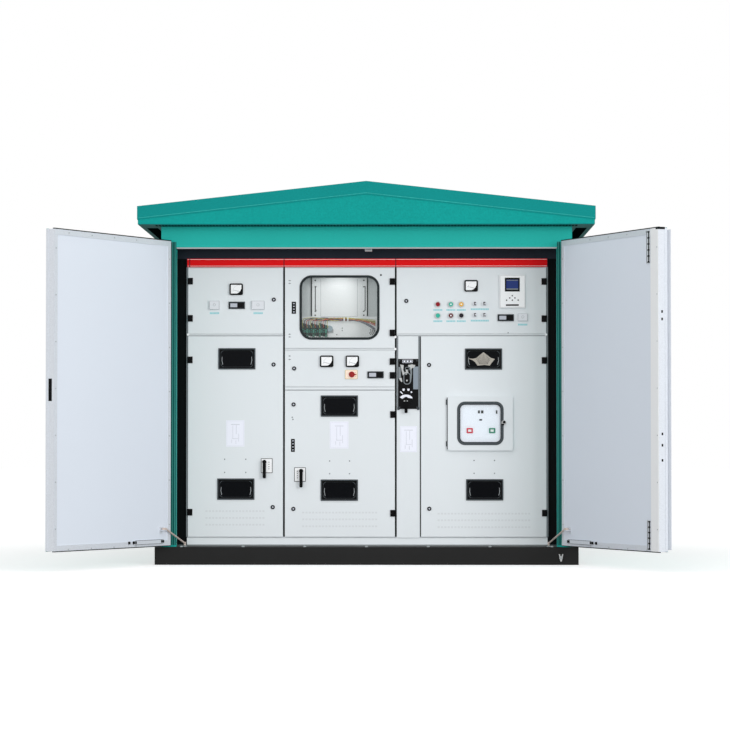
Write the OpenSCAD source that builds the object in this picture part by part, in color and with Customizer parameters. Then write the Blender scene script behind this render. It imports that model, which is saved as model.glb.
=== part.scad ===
// Compact outdoor substation: a walk-up steel shell on a channel base, with a low
// pitched roof, two open front leaves and a row of three switchgear cubicles.
// X runs to the right, the front faces -Y, Z is up, the ground is Z = 0.

/* [Base and shell] */
// Length of the base, front to back
base_length = 3200; // [2800:50:4000]
// Width of the base
base_width = 2400; // [2360:10:2800]
// Height of the base channels
base_height = 100; // [80:5:160]
// Flange width of the base channels
base_flange = 125; // [110:5:160]
// Plate thickness of the base channels
base_gauge = 8; // [5:1:12]
// Thickness of the floor plate
floor_gauge = 4; // [3:1:8]
// Distance from the end of the base to the face of the shell
shell_setback = 60; // [58:2:120]
// Distance from the side of the base to the side of the shell
shell_inset = 30; // [10:5:60]
// Thickness of the side walls
wall_gauge = 50; // [40:5:80]
// Width of the door jambs
jamb_width = 87; // [80:1:105]
// Depth of the front and rear door frames
frame_depth = 60; // [50:5:90]
// Sheet thickness of the door frames
frame_gauge = 3; // [2:1:6]
// Height of the lintel over the doorway
lintel_height = 117; // [110:1:140]
// Thickness of the ceiling panel
ceiling_gauge = 20; // [10:5:40]

/* [Roof] */
// Roof overhang beyond the sides of the shell
roof_side_overhang = 121; // [60:1:200]
// Roof overhang beyond the front and rear of the shell
roof_end_overhang = 200; // [120:10:300]
// Height of the fascia at the eaves
eave_height = 103; // [95:1:160]
// Rise from the eaves to the ridge
roof_rise = 141; // [80:1:300]
// Depth of the folded edge of the roof skin
verge_depth = 75; // [40:5:80]
// Sheet thickness of the roof and the fascias
roof_gauge = 4; // [2:1:8]

/* [Main leaves] */
// Half of the gap between the closed front leaves
leaf_meet = 5; // [4:1:8]
// Distance from the roof down to the top of a leaf
leaf_drop = 86; // [60:1:100]
// Thickness of each front leaf
leaf_thick = 50; // [40:5:52]
// Gap between the closed leaf and the shell
leaf_gap = 5; // [5:1:10]
// Gap under the leaf
leaf_lift = 10; // [8:1:30]
// Sheet thickness of the leaf
leaf_gauge = 3; // [2:1:5]
// Distance of the leaf hinges from the side of the shell
hinge_inset = 25; // [18:1:35]
// Inset of the aluminium frame from the hinge edge of the leaf
leaf_inset = 12; // [11:1:25]
// Inset of the aluminium frame from the other leaf edges
leaf_edge = 2; // [1:1:8]
// Width of the aluminium frame
leaf_band = 30; // [20:1:60]
// Radius of the leaf hinge knuckles
knuckle_radius = 8; // [6:0.5:10]
// Radius of the leaf hinge pins
pin_radius = 4; // [3:0.5:5]
// Angle at which the left leaf stands open
left_open = 119; // [100:1:125]
// Angle at which the right leaf stands open
right_open = 114; // [100:1:125]

/* [Door stays] */
// Distance of the stay bracket from the leaf hinge
stay_reach = 110; // [105:1:140]
// Height of the stay bracket above the ground
stay_height = 197; // [170:1:260]
// Radius of the stay rod
stay_radius = 5; // [4:0.5:8]
// Distance of the stay eye behind the face of the shell
stay_back = 46; // [40:1:47]
// Distance of the stay eye from the doorway edge
stay_side = 47; // [35:1:60]

/* [Cubicles] */
// Distance from the face of the shell to the cubicle fronts
cubicle_setback = 275; // [250:5:400]
// Height of the cubicles above the floor plate
cubicle_height = 1651; // [1400:1:2000]
// Space between the cubicles and the roof
headroom = 166; // [160:1:250]
// Gap between the doorway edge and the cubicles
row_gap = 43; // [30:1:80]
// Depth of the cubicles
cubicle_depth = 900; // [600:10:1100]
// Width of the left cubicle, beside the other two
left_width = 560; // [540:1:620]
// Width of the middle cubicle, beside the other two
middle_width = 646; // [620:1:700]
// Width of the right cubicle, beside the other two
right_width = 874; // [830:1:920]
// Sheet thickness of the cubicles
cubicle_gauge = 3; // [2:1:5]
// Margin from a cubicle side to its doors
door_margin = 6; // [6:1:12]
// Thickness of a cubicle door
door_thick = 20; // [16:1:30]
// Gap behind the doors that open
door_gap = 5; // [5:1:10]
// Sheet thickness of a cubicle door
door_gauge = 2.5; // [1.5:0.5:4]
// Height of the title strip
strip_height = 48; // [40:1:54]
// Height of the plinth
plinth_height = 38; // [20:1:38]
// Bottom of the opening doors above the ground
door_bottom = 149; // [149:1:160]
// Share of the cubicle height where the left and right opening doors end
outer_door_share = 0.728; // [0.71:0.001:0.74]
// Share of the cubicle height where the middle opening door ends
middle_door_share = 0.538; // [0.52:0.001:0.55]
// Height of the middle instrument door
instrument_door_height = 211; // [190:1:215]
// Width of the window box on the right door
box_width = 376; // [340:1:400]
// Height of the window box on the right door
box_height = 313; // [280:1:330]

/* [Windows] */
// Width of a small viewing window
view_width = 214; // [180:1:240]
// Height of a small viewing window
view_height = 122; // [90:1:140]
// Width of the frame of a viewing window
view_band = 14; // [10:1:20]
// Height of the lower viewing windows above the ground
low_view_height = 424; // [400:1:450]
// Distance from the top of an outer door down to its upper window
high_view_drop = 130; // [100:1:150]
// Distance from the top of the middle door down to its upper window
middle_view_drop = 89; // [80:1:110]
// Width of the large meter window
meter_window_width = 462; // [380:1:480]
// Margin above the large meter window
window_top_margin = 40.5; // [35:0.5:60]
// Margin below the large meter window
window_bottom_margin = 48.5; // [35:0.5:60]
// Corner radius of the large meter window
meter_window_radius = 70; // [40:1:90]
// Width of the rubber seal of the large window
seal_band = 14; // [8:1:20]

/* [Fittings] */
// Width of a round-cornered panel meter
meter_width = 78; // [60:1:90]
// Height of a panel meter
meter_height = 67; // [50:1:80]
// Length of a pistol handle
handle_length = 95; // [70:1:110]
// Radius of a pistol handle shaft
handle_radius = 9; // [6:1:12]
// Clearance around shafts and pins
pin_gap = 0.4; // [0.3:0.1:1]

/* [Hidden] */
$fn = 48;
BX = base_width / 2 - shell_inset;
HX = base_width / 2;
HY = base_length / 2;
FY = -HY + shell_setback;
WY = -FY - frame_depth;
DX = BX - jamb_width;
ZF = base_height + floor_gauge;
CT = ZF + cubicle_height;
ZT = CT + headroom;
shell_height = ZT - base_height;
RX = BX + roof_side_overhang;
RY = -FY + roof_end_overhang;
ZE = ZT + eave_height;
ZR = ZE + roof_rise;
PX = BX - hinge_inset;
PY = FY - leaf_thick - leaf_gap;
LZ = base_height + leaf_lift;
CY = FY + cubicle_setback;
DY = CY - door_gap - door_thick;
CX3 = DX - row_gap;
CX0 = -CX3;
fit_x = 2 * CX3 / (left_width + middle_width + right_width);
CX1 = CX0 + left_width * fit_x;
CX2 = CX1 + middle_width * fit_x;
ST = CT - strip_height;
UL = (CX1 - CX0) / 560;
UM = (CX2 - CX1) / 646;
UR = (CX3 - CX2) / 874;
MX = CX2 + 138 * UR;
outer_door_top = ZF + outer_door_share * cubicle_height;
middle_door_top = ZF + middle_door_share * cubicle_height;
leaf_width = PX - leaf_meet;
leaf_height = ZT - leaf_drop - LZ;
EX = DX - stay_side;
EY = FY + stay_back;

function left_at(x, y) = [-PX + x * cos(left_open) + y * sin(left_open),
                          PY - x * sin(left_open) + y * cos(left_open)];
function right_at(x, y) = [PX - x * cos(right_open) - y * sin(right_open),
                           PY - x * sin(right_open) + y * cos(right_open)];
stay_out = leaf_thick + 20;
leaf_hinges = [260, leaf_height / 2, leaf_height - 260];
LB = left_at(stay_reach, stay_out);
RB = right_at(stay_reach, stay_out);

teal = [0.05, 0.5, 0.48];
dark_teal = [0.04, 0.42, 0.4];
pale = [0.86, 0.88, 0.88];
black = [0.06, 0.06, 0.06];
steel = [0.65, 0.66, 0.66];

// A block between two corners
module span(a, b) {
    translate(a) cube([b[0] - a[0], b[1] - a[1], b[2] - a[2]]);
}

// A round bar between two points
module bar(a, b, r) {
    d = b - a;
    translate(a)
        rotate([0, acos(d[2] / norm(d)), atan2(d[1], d[0])])
            cylinder(h = norm(d), r = r);
}

// A block that faces the front, with round corners
module round_block(x, z, w, h, r, y0, y1) {
    span([x - w / 2 + r, y0, z - h / 2], [x + w / 2 - r, y1, z + h / 2]);
    span([x - w / 2, y0, z - h / 2 + r], [x + w / 2, y1, z + h / 2 - r]);
    for (i = [-1, 1], j = [-1, 1])
        translate([x + i * (w / 2 - r), y1, z + j * (h / 2 - r)])
            rotate([90, 0, 0]) cylinder(h = y1 - y0, r = r);
}

// A profile in the X-Z plane, carried along Y
module profile_y(points, y0, y1) {
    translate([0, y1, 0]) rotate([90, 0, 0])
        linear_extrude(height = y1 - y0) polygon(points);
}

// Base of welded channels with lifting holes
module base_frame() {
    color(black) difference() {
        span([-HX, -HY, 0], [HX, HY, base_height]);
        span([-HX + base_flange, -HY + base_flange, -1],
             [HX - base_flange, HY - base_flange, base_height + 1]);
        span([-HX + base_gauge, -HY + base_gauge, base_gauge],
             [HX - base_gauge, HY - base_gauge, base_height - base_gauge]);
        for (y = [-0.33, 0.33])
            translate([-HX - 1, y * base_length, base_height / 2])
                rotate([0, 90, 0]) cylinder(h = base_width + 2, r = base_height * 0.28);
    }
}

// Cross channels of the base, their webs fitted between the side flanges
module base_cross_members() {
    color(black) for (y = [-0.3, -0.01, 0.26])
        cross_member(y * base_length);
}

module cross_member(y) {
    span([-HX + base_gauge, y, base_gauge], [HX - base_gauge, y + base_gauge, base_height - base_gauge]);
    span([-HX + base_flange, y, base_height - base_gauge], [HX - base_flange, y + 60, base_height]);
    span([-HX + base_flange, y, 0], [HX - base_flange, y + 60, base_gauge]);
}

// Steel floor plate with a cable opening under each cubicle
module floor_plate() {
    color(steel) difference() {
        span([-BX + wall_gauge, -WY, base_height], [BX - wall_gauge, WY, ZF]);
        for (x = [(CX0 + CX1) / 2, (CX1 + CX2) / 2, (CX2 + CX3) / 2])
            span([x - 130, CY + 250, base_height - 1], [x + 130, CY + 550, ZF + 1]);
    }
}

// Stepped folded jamb on the left, open at the back
module jamb() {
    translate([0, 0, base_height]) linear_extrude(height = shell_height) polygon([
        [-BX, FY], [-DX - 22, FY], [-DX - 22, FY + 8], [-DX, FY + 8], [-DX, FY + frame_depth],
        [-DX - frame_gauge, FY + frame_depth], [-DX - frame_gauge, FY + 8 + frame_gauge],
        [-DX - 22 - frame_gauge, FY + 8 + frame_gauge], [-DX - 22 - frame_gauge, FY + frame_gauge],
        [-BX + frame_gauge, FY + frame_gauge], [-BX + frame_gauge, FY + frame_depth],
        [-BX, FY + frame_depth]]);
}

// Door frame of the front: two jambs and the lintel
module door_frame() {
    jamb();
    mirror([1, 0, 0]) jamb();
    difference() {
        span([-DX, FY, ZT - lintel_height], [DX, FY + frame_depth, ZT]);
        span([-DX - 1, FY + frame_gauge, ZT - lintel_height + frame_gauge],
             [DX + 1, FY + frame_depth + 1, ZT + 1]);
    }
    for (s = [-1, 1])
        span([s * (DX + 11) - 11, FY, ZT - lintel_height],
             [s * (DX + 11) + 11, FY + 8, ZT]);
}

// Fixed half of a leaf hinge: a bored knuckle on a plate that stands on the jamb
module frame_knuckle(z) {
    difference() {
        union() {
            translate([-PX, PY, z - 30]) cylinder(h = 60, r = knuckle_radius);
            span([-PX - 8, PY, z - 30], [-PX - 5, FY + 1, z + 30]);
        }
        translate([-PX, PY, z - 31]) cylinder(h = 62, r = pin_radius + pin_gap);
    }
}

module front_frame() {
    color(teal) {
        door_frame();
        for (s = [0, 1], z = leaf_hinges)
            mirror([s, 0, 0]) frame_knuckle(LZ + z);
    }
}

module rear_frame() {
    color(teal) mirror([0, 1, 0]) door_frame();
}

// Louvred door opening in a side wall
louvre_z0 = base_height + 90;
louvre_z1 = ZT - 110;
louvre_y0 = -190;
louvre_y1 = 1110;

module side_wall() {
    difference() {
        span([-BX, -WY, base_height], [-BX + wall_gauge, WY, ZT]);
        span([-BX - 1, louvre_y0, louvre_z0], [-BX + wall_gauge + 1, louvre_y1, louvre_z1]);
    }
}

module left_wall() {
    color(teal) side_wall();
}

module right_wall() {
    color(teal) mirror([1, 0, 0]) side_wall();
}

// One louvred leaf, set into the side wall
module louvre_leaf(y0, y1) {
    border = 75;
    n = 24;
    pitch = (louvre_z1 - louvre_z0 - 2 * border) / n;
    difference() {
        span([-BX, y0, louvre_z0], [-BX + 40, y1, louvre_z1]);
        span([-BX - 1, y0 + border, louvre_z0 + border], [-BX + 41, y1 - border, louvre_z1 - border]);
        span([-BX + frame_gauge, y0 + frame_gauge, louvre_z0 + frame_gauge],
             [-BX + 41, y1 - frame_gauge, louvre_z1 - frame_gauge]);
    }
    for (i = [0 : n - 1])
        translate([-BX + 1, y0 + border - 4, louvre_z0 + border + pitch * i - 4])
            rotate([0, 30, 0]) cube([frame_gauge, y1 - y0 - 2 * border + 8, 70]);
}

module louvre_pair() {
    middle = (louvre_y0 + louvre_y1) / 2;
    louvre_leaf(louvre_y0, middle - 3);
    louvre_leaf(middle + 3, louvre_y1);
}

module left_louvred_doors() {
    color(dark_teal) louvre_pair();
}

module right_louvred_doors() {
    color(dark_teal) mirror([1, 0, 0]) louvre_pair();
}

// Closed pair of rear leaves, folded pans open to the inside
module rear_doors() {
    color(teal) for (s = [0, 1]) mirror([s, 0, 0])
        difference() {
            span([-PX, -FY, LZ], [-4, -FY + leaf_thick, LZ + leaf_height]);
            span([-PX + leaf_gauge, -FY - 1, LZ + leaf_gauge],
                 [-4 - leaf_gauge, -FY + leaf_thick - leaf_gauge, LZ + leaf_height - leaf_gauge]);
        }
}

// Roof skin with folded edges all round
module roof_skin() {
    zb = ZE - verge_depth;
    g = roof_gauge;
    color(dark_teal) {
        profile_y([[-RX, zb], [-RX, ZE], [0, ZR], [RX, ZE], [RX, zb], [RX - g, zb],
            [RX - g, ZE - g], [0, ZR - g], [-RX + g, ZE - g], [-RX + g, zb]], -RY, RY);
        for (s = [0, 1]) mirror([0, s, 0])
            profile_y([[-RX, zb], [-RX, ZE], [0, ZR], [RX, ZE], [RX, zb], [0, ZR - verge_depth]],
                -RY, -RY + g);
    }
}

// Gable plates and eaves fascias behind the folded edges
module roof_fascias() {
    g = roof_gauge;
    x = RX - g;
    z = ZT + frame_gauge;
    top = ZE - 16;
    color(teal) difference() {
        profile_y([[-x, z], [-x, top], [0, top + roof_rise * x / RX], [x, top], [x, z]],
            -RY + g, RY - g);
        profile_y([[-x + g, z - 1], [-x + g, top + 300], [x - g, top + 300], [x - g, z - 1]],
            -RY + 2 * g, RY - 2 * g);
    }
}

// Flat soffit under the overhangs
module soffit() {
    g = roof_gauge;
    color(dark_teal) difference() {
        span([-RX + g, -RY + g, ZT], [RX - g, RY - g, ZT + frame_gauge]);
        span([-BX + wall_gauge, -WY, ZT - 1], [BX - wall_gauge, WY, ZT + frame_gauge + 1]);
    }
}

module ceiling() {
    color(pale) span([-BX, FY, ZT + frame_gauge], [BX, -FY, ZT + frame_gauge + ceiling_gauge]);
}

// Dark sheet that closes the space around the cubicles
module surround_panel() {
    color(black) difference() {
        span([-BX + wall_gauge, CY, ZF], [BX - wall_gauge, CY + frame_gauge, ZT]);
        span([CX0, CY - 1, ZF - 1], [CX3, CY + frame_gauge + 1, CT]);
    }
}

// Weather strip and latch keeper under the lintel
module lintel_strip() {
    z = ZT - lintel_height;
    color(steel) {
        span([-DX, FY, z - 8], [DX, FY + 10, z]);
        difference() {
            span([-9, FY + 4, z - 22], [31, FY + 40, z]);
            span([-5, FY + 3, z - 18], [27, FY + 36, z + 1]);
        }
    }
}

// Stay eyes on the base and the earthing stud at its front
module ground_fittings() {
    color(steel) {
        for (s = [-1, 1])
            difference() {
                translate([s * EX, EY, base_height]) cylinder(h = 4, r = 12);
                translate([s * EX, EY, base_height - 1]) cylinder(h = 6, r = 6);
            }
        translate([HX - 100, -HY, 40]) rotate([90, 0, 0]) cylinder(h = 6, r = 10);
        translate([HX - 100, -HY - 6, 40]) rotate([90, 0, 0]) cylinder(h = 14, r = 5);
    }
}

// Sheet steel cubicle, open behind its doors
module cubicle(x0, x1, holes) {
    g = cubicle_gauge;
    difference() {
        span([x0, CY, ZF], [x1, CY + cubicle_depth, CT]);
        span([x0 + g, CY + g, ZF + g], [x1 - g, CY + cubicle_depth - g, CT - g]);
        for (h = holes)
            span([h[0], CY - 1, h[1]], [h[2], CY + g + 1, h[3]]);
    }
    span([x0, CY - 18, ZF], [x1, CY, ZF + plinth_height]);
}

// Flush rail between two doors of a cubicle
module rail(x0, x1, z0, z1) {
    span([x0 + door_margin, DY, z0], [x1 - door_margin, CY, z1]);
}

low_hole = door_bottom + 30;

module left_cubicle() {
    color(pale) cubicle(CX0, CX1, [
        [CX0 + 30, low_hole, CX1 - 30, outer_door_top - 22],
        [CX0 + 30, outer_door_top + 45, CX1 - 30, ST - 30]]);
    color(pale) rail(CX0, CX1, outer_door_top + door_gap, up_z0 - 2);
}

module middle_cubicle() {
    color(pale) cubicle(CX1, CX2, [
        [CX1 + 30, low_hole, CX2 - 30, middle_door_top - 22],
        [CX1 + 30, mi_z + 23, CX2 - 30, mi_z1 - 23],
        [CX1 + 30, wd_z0 + 23, CX2 - 30, ST - 30]]);
    color(pale) rail(CX1, CX2, middle_door_top + door_gap, mi_z - 2);
    color(pale) rail(CX1, CX2, mi_z1 + 2, wd_z0 - 2);
}

module right_cubicle() {
    color(pale) cubicle(CX2, CX3, [
        [MX + 30, low_hole, CX3 - 30, outer_door_top - 22],
        [CX2 + 30, outer_door_top + 45, CX3 - 30, ST - 30]]);
    color(pale) rail(CX2, CX3, outer_door_top + door_gap, up_z0 - 2);
}

module title_strip() {
    color([0.75, 0.1, 0.1]) span([CX0, DY, ST], [CX3, CY, CT]);
}

// Folded door pan, open at the back, with cut-outs [x, z, w, h]
module door_pan(x0, x1, z0, z1, thick, cuts) {
    g = door_gauge;
    difference() {
        span([x0, DY, z0], [x1, DY + thick, z1]);
        span([x0 + g, DY + g, z0 + g], [x1 - g, DY + thick + 1, z1 - g]);
        for (c = cuts)
            span([c[0] - c[2] / 2, DY - 1, c[1] - c[3] / 2], [c[0] + c[2] / 2, DY + g + 1, c[1] + c[3] / 2]);
    }
}

fixed_thick = door_thick + door_gap;
up_z0 = outer_door_top + 14;
up_z1 = ST - 8;
UU = (up_z1 - up_z0) / 379;
mi_z = middle_door_top + 22;
mi_z1 = mi_z + instrument_door_height;
wd_z0 = mi_z1 + 12;
UI = instrument_door_height / 211;
meter_window_height = up_z1 - wd_z0 - window_top_margin - window_bottom_margin;

// Body of a panel meter
module meter(x, z) {
    round_block(x, z, meter_width, meter_height, 10, DY - 14, DY);
}

module left_upper_door() {
    color(pale) door_pan(CX0 + door_margin, CX1 - door_margin, up_z0, up_z1, fixed_thick, []);
}

module left_instruments() {
    color(black) {
        meter(CX0 + 284 * UL, up_z0 + 258 * UU);
        span([CX0 + 240 * UL, DY - 8, up_z0 + 144 * UU], [CX0 + 334 * UL, DY, up_z0 + 186 * UU]);
        span([CX0 + 130 * UL, DY - 16, up_z0 + 141 * UU], [CX0 + 186 * UL, DY, up_z0 + 190 * UU]);
        span([CX0 + 375 * UL, DY - 16, up_z0 + 141 * UU], [CX0 + 446 * UL, DY, up_z0 + 190 * UU]);
    }
}

window_x = CX1 + 321 * UM;
window_z = up_z1 - window_top_margin - meter_window_height / 2;

// Fixed door with the large rounded meter window
module middle_window_door() {
    g = door_gauge;
    color(pale) difference() {
        span([CX1 + door_margin, DY, wd_z0], [CX2 - door_margin, CY, up_z1]);
        span([CX1 + door_margin + g, DY + g, wd_z0 + g],
             [CX2 - door_margin - g, CY + 1, up_z1 - g]);
        round_block(window_x, window_z, meter_window_width - 12, meter_window_height - 12,
            meter_window_radius - 6, DY - 1, DY + g + 1);
    }
}

module middle_window_seal() {
    color(black) difference() {
        round_block(window_x, window_z, meter_window_width, meter_window_height,
            meter_window_radius, DY - 5, DY);
        round_block(window_x, window_z, meter_window_width - 2 * seal_band,
            meter_window_height - 2 * seal_band, meter_window_radius - seal_band, DY - 6, DY + 1);
    }
}

module middle_window_pane() {
    color([0.7, 0.8, 0.8]) round_block(window_x, window_z, meter_window_width - 12,
        meter_window_height - 12, meter_window_radius - 6, DY, DY + door_gauge);
}

// Mounting plate with two slots, on side brackets behind the large window
module wiring_plate() {
    y = CY + 170;
    g = cubicle_gauge;
    color(pale) difference() {
        union() {
            span([CX1 + 34 * UM, y, wd_z0 + 17], [CX2 - 34 * UM, y + g, ST - 34]);
            for (z = [wd_z0 + 75, ST - 110]) {
                span([CX1 + g, y + g, z], [CX1 + 34 * UM + g, y + 23, z + 30]);
                span([CX2 - 34 * UM - g, y + g, z], [CX2 - g, y + 23, z + 30]);
            }
        }
        for (x = [window_x - 152 * UM, window_x + 138 * UM])
            span([x, y - 1, window_z - 0.05 * meter_window_height],
                 [x + 12 * UM, y + 4, window_z + 0.35 * meter_window_height]);
    }
}

module middle_instrument_door() {
    color(pale) door_pan(CX1 + door_margin, CX2 - door_margin, mi_z, mi_z1, fixed_thick, []);
}

knob_x = CX1 + 392 * UM;
knob_z = mi_z + 71 * UI;

module middle_instruments() {
    color(black) {
        meter(CX1 + 247 * UM, mi_z + 147 * UI);
        meter(CX1 + 395 * UM, mi_z + 147 * UI);
        round_block(knob_x - 3, knob_z, 72, 53, 4, DY - 4, DY);
        span([CX1 + 484 * UM, DY - 8, mi_z + 49 * UI], [CX1 + 574 * UM, DY, mi_z + 89 * UI]);
    }
}

// Red selector knob in front of its plate
module selector_knob() {
    y = DY - 4 - pin_gap;
    color([0.75, 0.1, 0.1]) {
        translate([knob_x, y, knob_z]) rotate([90, 0, 0]) cylinder(h = 8, r = 17);
        span([knob_x - 5, y - 22, knob_z - 16], [knob_x + 5, y - 7, knob_z + 16]);
    }
}

module right_upper_door() {
    color(pale) door_pan(CX2 + door_margin, CX3 - door_margin, up_z0, up_z1, fixed_thick, []);
}

module right_instruments() {
    color(black) {
        meter(CX2 + 435 * UR, up_z0 + 277 * UU);
        span([CX2 + 600 * UR, DY - 20, up_z0 + 150 * UU], [CX2 + 746 * UR, DY, up_z0 + 338 * UU]);
        span([CX2 + 588 * UR, DY - 8, up_z0 + 73 * UU], [CX2 + 681 * UR, DY, up_z0 + 112 * UU]);
        span([CX2 + 705 * UR, DY - 16, up_z0 + 74 * UU], [CX2 + 760 * UR, DY, up_z0 + 116 * UU]);
        for (x = [243, 318, 378], z = [105, 170])
            translate([CX2 + x * UR, DY, up_z0 + z * UU])
                rotate([90, 0, 0]) cylinder(h = 12, r = 11 * UU);
        for (x = [457, 511], z = [109, 174])
            translate([CX2 + x * UR, DY, up_z0 + z * UU])
                rotate([90, 0, 0]) cylinder(h = 14, r = 12 * UU);
    }
}

mech_z0 = outer_door_top - 420;
mech_z1 = outer_door_top - 131;
mech_x = CX2 + 59 * UR;

// Fixed sheet beside the right lower door
module mechanism_panel() {
    color(pale) door_pan(CX2 + door_margin, MX, door_bottom - 6, outer_door_top, fixed_thick, []);
}

// Black operating mechanism cover with its link plates
module mechanism_plate() {
    x0 = CX2 + 14;
    x1 = MX - 8;
    color(black) {
        span([x0, DY - 5, mech_z0], [x1, DY, mech_z1]);
        span([x0 + 8, DY - 9, mech_z0 + 118], [x1 - 36, DY - 5, mech_z1 - 40]);
        span([x1 - 30, DY - 9, mech_z0 + 115], [x1 - 4, DY - 5, mech_z0 + 244]);
        difference() {
            translate([mech_x, DY - 5, mech_z0 + 58]) rotate([90, 0, 0]) cylinder(h = 6, r = 34);
            translate([mech_x, DY - 4, mech_z0 + 58]) rotate([90, 0, 0]) cylinder(h = 8, r = 10);
        }
    }
}

// Pistol handle that hangs down from its shaft
module pistol(x, z, y, length) {
    translate([x, y, z]) rotate([90, 0, 0]) cylinder(h = 16, r = handle_radius);
    translate([x, y - 16, z]) rotate([90, 0, 0]) cylinder(h = 12, r = handle_radius + 3);
    round_block(x, z - length / 2, 2 * handle_radius, length, 7, y - 28, y - 12);
}

module mechanism_handle() {
    color(black) pistol(mech_x, mech_z0 + 58, DY - 5 - pin_gap, 82);
}

// Frame of a small viewing window
module view_frame(x, z, w = view_width, h = view_height, b = view_band, out = 6) {
    difference() {
        span([x - w / 2, DY - out, z - h / 2], [x + w / 2, DY, z + h / 2]);
        span([x - w / 2 + b, DY - out - 1, z - h / 2 + b], [x + w / 2 - b, DY + 1, z + h / 2 - b]);
    }
}

module view_pane(x, z) {
    span([x - view_width / 2 + 8, DY, z - view_height / 2 + 8],
         [x + view_width / 2 - 8, DY + door_gauge, z + view_height / 2 - 8]);
}

function view_cut(x, z) = [x, z, view_width - 16, view_height - 16];

// Block hinges on a door whose pin is at x; the door lies towards dir
module hinge_pair(x, zs, dir) {
    for (z = zs) translate([x, DY - 4, z]) {
        difference() {
            union() {
                cylinder(h = 38, r = 4, center = true);
                span([dir < 0 ? -27 : 0, -4, -19], [dir < 0 ? 0 : 27, 4, 19]);
            }
            cylinder(h = 15, r = 5, center = true);
        }
        cylinder(h = 38, r = 2, center = true);
    }
}

// Fixed knuckles on the cubicle for such hinges
module knuckle_pair(x, zs, dir) {
    for (z = zs) difference() {
        union() {
            translate([x, DY - 4, z]) cylinder(h = 14, r = 4, center = true);
            span([dir < 0 ? x + 1 : x - 4, DY - 4, z - 7], [dir < 0 ? x + 4 : x - 1, CY, z + 7]);
        }
        translate([x, DY - 4, z]) cylinder(h = 16, r = 2 + pin_gap, center = true);
    }
}

module door_knuckles() {
    color(black) {
        knuckle_pair(CX0 + 5, left_hinges, 1);
        knuckle_pair(CX2 - 5, middle_hinges, -1);
        knuckle_pair(CX3 - 5, right_hinges, -1);
    }
}

left_hinges = [door_bottom + 142, outer_door_top - 136];
middle_hinges = [door_bottom + 136, middle_door_top - 138];
right_hinges = [door_bottom + 137, outer_door_top - 140];

// Round locks on a door
module locks(places) {
    for (p = places)
        translate([p[0], DY, p[1]]) rotate([90, 0, 0]) cylinder(h = 5, r = 12);
}

lx = CX0 + 288 * UL;
high_view_height = outer_door_top - high_view_drop;
middle_view_height = middle_door_top - middle_view_drop;
ldx0 = CX0 + door_margin;
ldx1 = CX1 - door_margin;

module left_lower_door() {
    color(pale) door_pan(ldx0, ldx1, door_bottom, outer_door_top, door_thick,
        [view_cut(lx, high_view_height), view_cut(lx - 5, low_view_height)]);
}

lh_x = CX0 + 448 * UL;
lh_z = door_bottom + 432;

module left_door_fittings() {
    color(black) {
        view_frame(lx, high_view_height);
        view_frame(lx - 5, low_view_height);
        hinge_pair(CX0 + 5, left_hinges, 1);
        locks([[CX1 - 60, outer_door_top - 163], [CX1 - 64, door_bottom + 171]]);
        span([lh_x - 20, DY - 4, lh_z - 64], [lh_x + 46, DY, lh_z + 20]);
    }
}

module left_door_panes() {
    color(black) {
        view_pane(lx, high_view_height);
        view_pane(lx - 5, low_view_height);
    }
}

module left_door_handle() {
    color(black) pistol(lh_x, lh_z, DY - 4 - pin_gap, handle_length);
}

mx = CX1 + 320 * UM;
mdx0 = CX1 + door_margin;
mdx1 = CX2 - door_margin;

module middle_lower_door() {
    color(pale) door_pan(mdx0, mdx1, door_bottom, middle_door_top, door_thick,
        [view_cut(mx, middle_view_height), view_cut(mx, low_view_height - 6)]);
}

mh_x = CX1 + 100 * UM;
mh_z = door_bottom + 380;

module middle_door_fittings() {
    color(black) {
        view_frame(mx, middle_view_height);
        view_frame(mx, low_view_height - 6);
        hinge_pair(CX2 - 5, middle_hinges, -1);
        locks([[CX1 + 56, middle_door_top - 80], [CX1 + 55, door_bottom + 161]]);
        span([mh_x - 40, DY - 4, mh_z - 62], [mh_x + 26, DY, mh_z + 20]);
    }
}

module middle_door_panes() {
    color(black) {
        view_pane(mx, middle_view_height);
        view_pane(mx, low_view_height - 6);
    }
}

module middle_door_handle() {
    color(black) pistol(mh_x, mh_z, DY - 4 - pin_gap, handle_length);
}

rx = CX2 + 506 * UR;
rdx0 = MX + 8;
rdx1 = CX3 - door_margin;
box_x = CX2 + 487 * UR;
box_z = (low_view_height + high_view_height) / 2 + 2;

module right_lower_door() {
    color(pale) door_pan(rdx0, rdx1, door_bottom, outer_door_top, door_thick,
        [view_cut(rx, high_view_height - 2), view_cut(rx + 6, low_view_height - 4)]);
}

module right_door_fittings() {
    color(black) {
        view_frame(rx, high_view_height - 2);
        view_frame(rx + 6, low_view_height - 4);
        hinge_pair(CX3 - 5, right_hinges, -1);
        locks([[MX + 54, outer_door_top - 166], [MX + 55, door_bottom + 162]]);
    }
}

module right_door_panes() {
    color(black) {
        view_pane(rx, high_view_height - 2);
        view_pane(rx + 6, low_view_height - 4);
    }
}

// Shallow box on the right door with a rounded window rebate
module window_box() {
    color(pale) difference() {
        round_block(box_x, box_z, box_width, box_height, 12, DY - 24, DY);
        round_block(box_x, box_z + 1, 0.71 * box_width, 0.8 * box_height, 44, DY - 25, DY - 6);
    }
}

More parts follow.
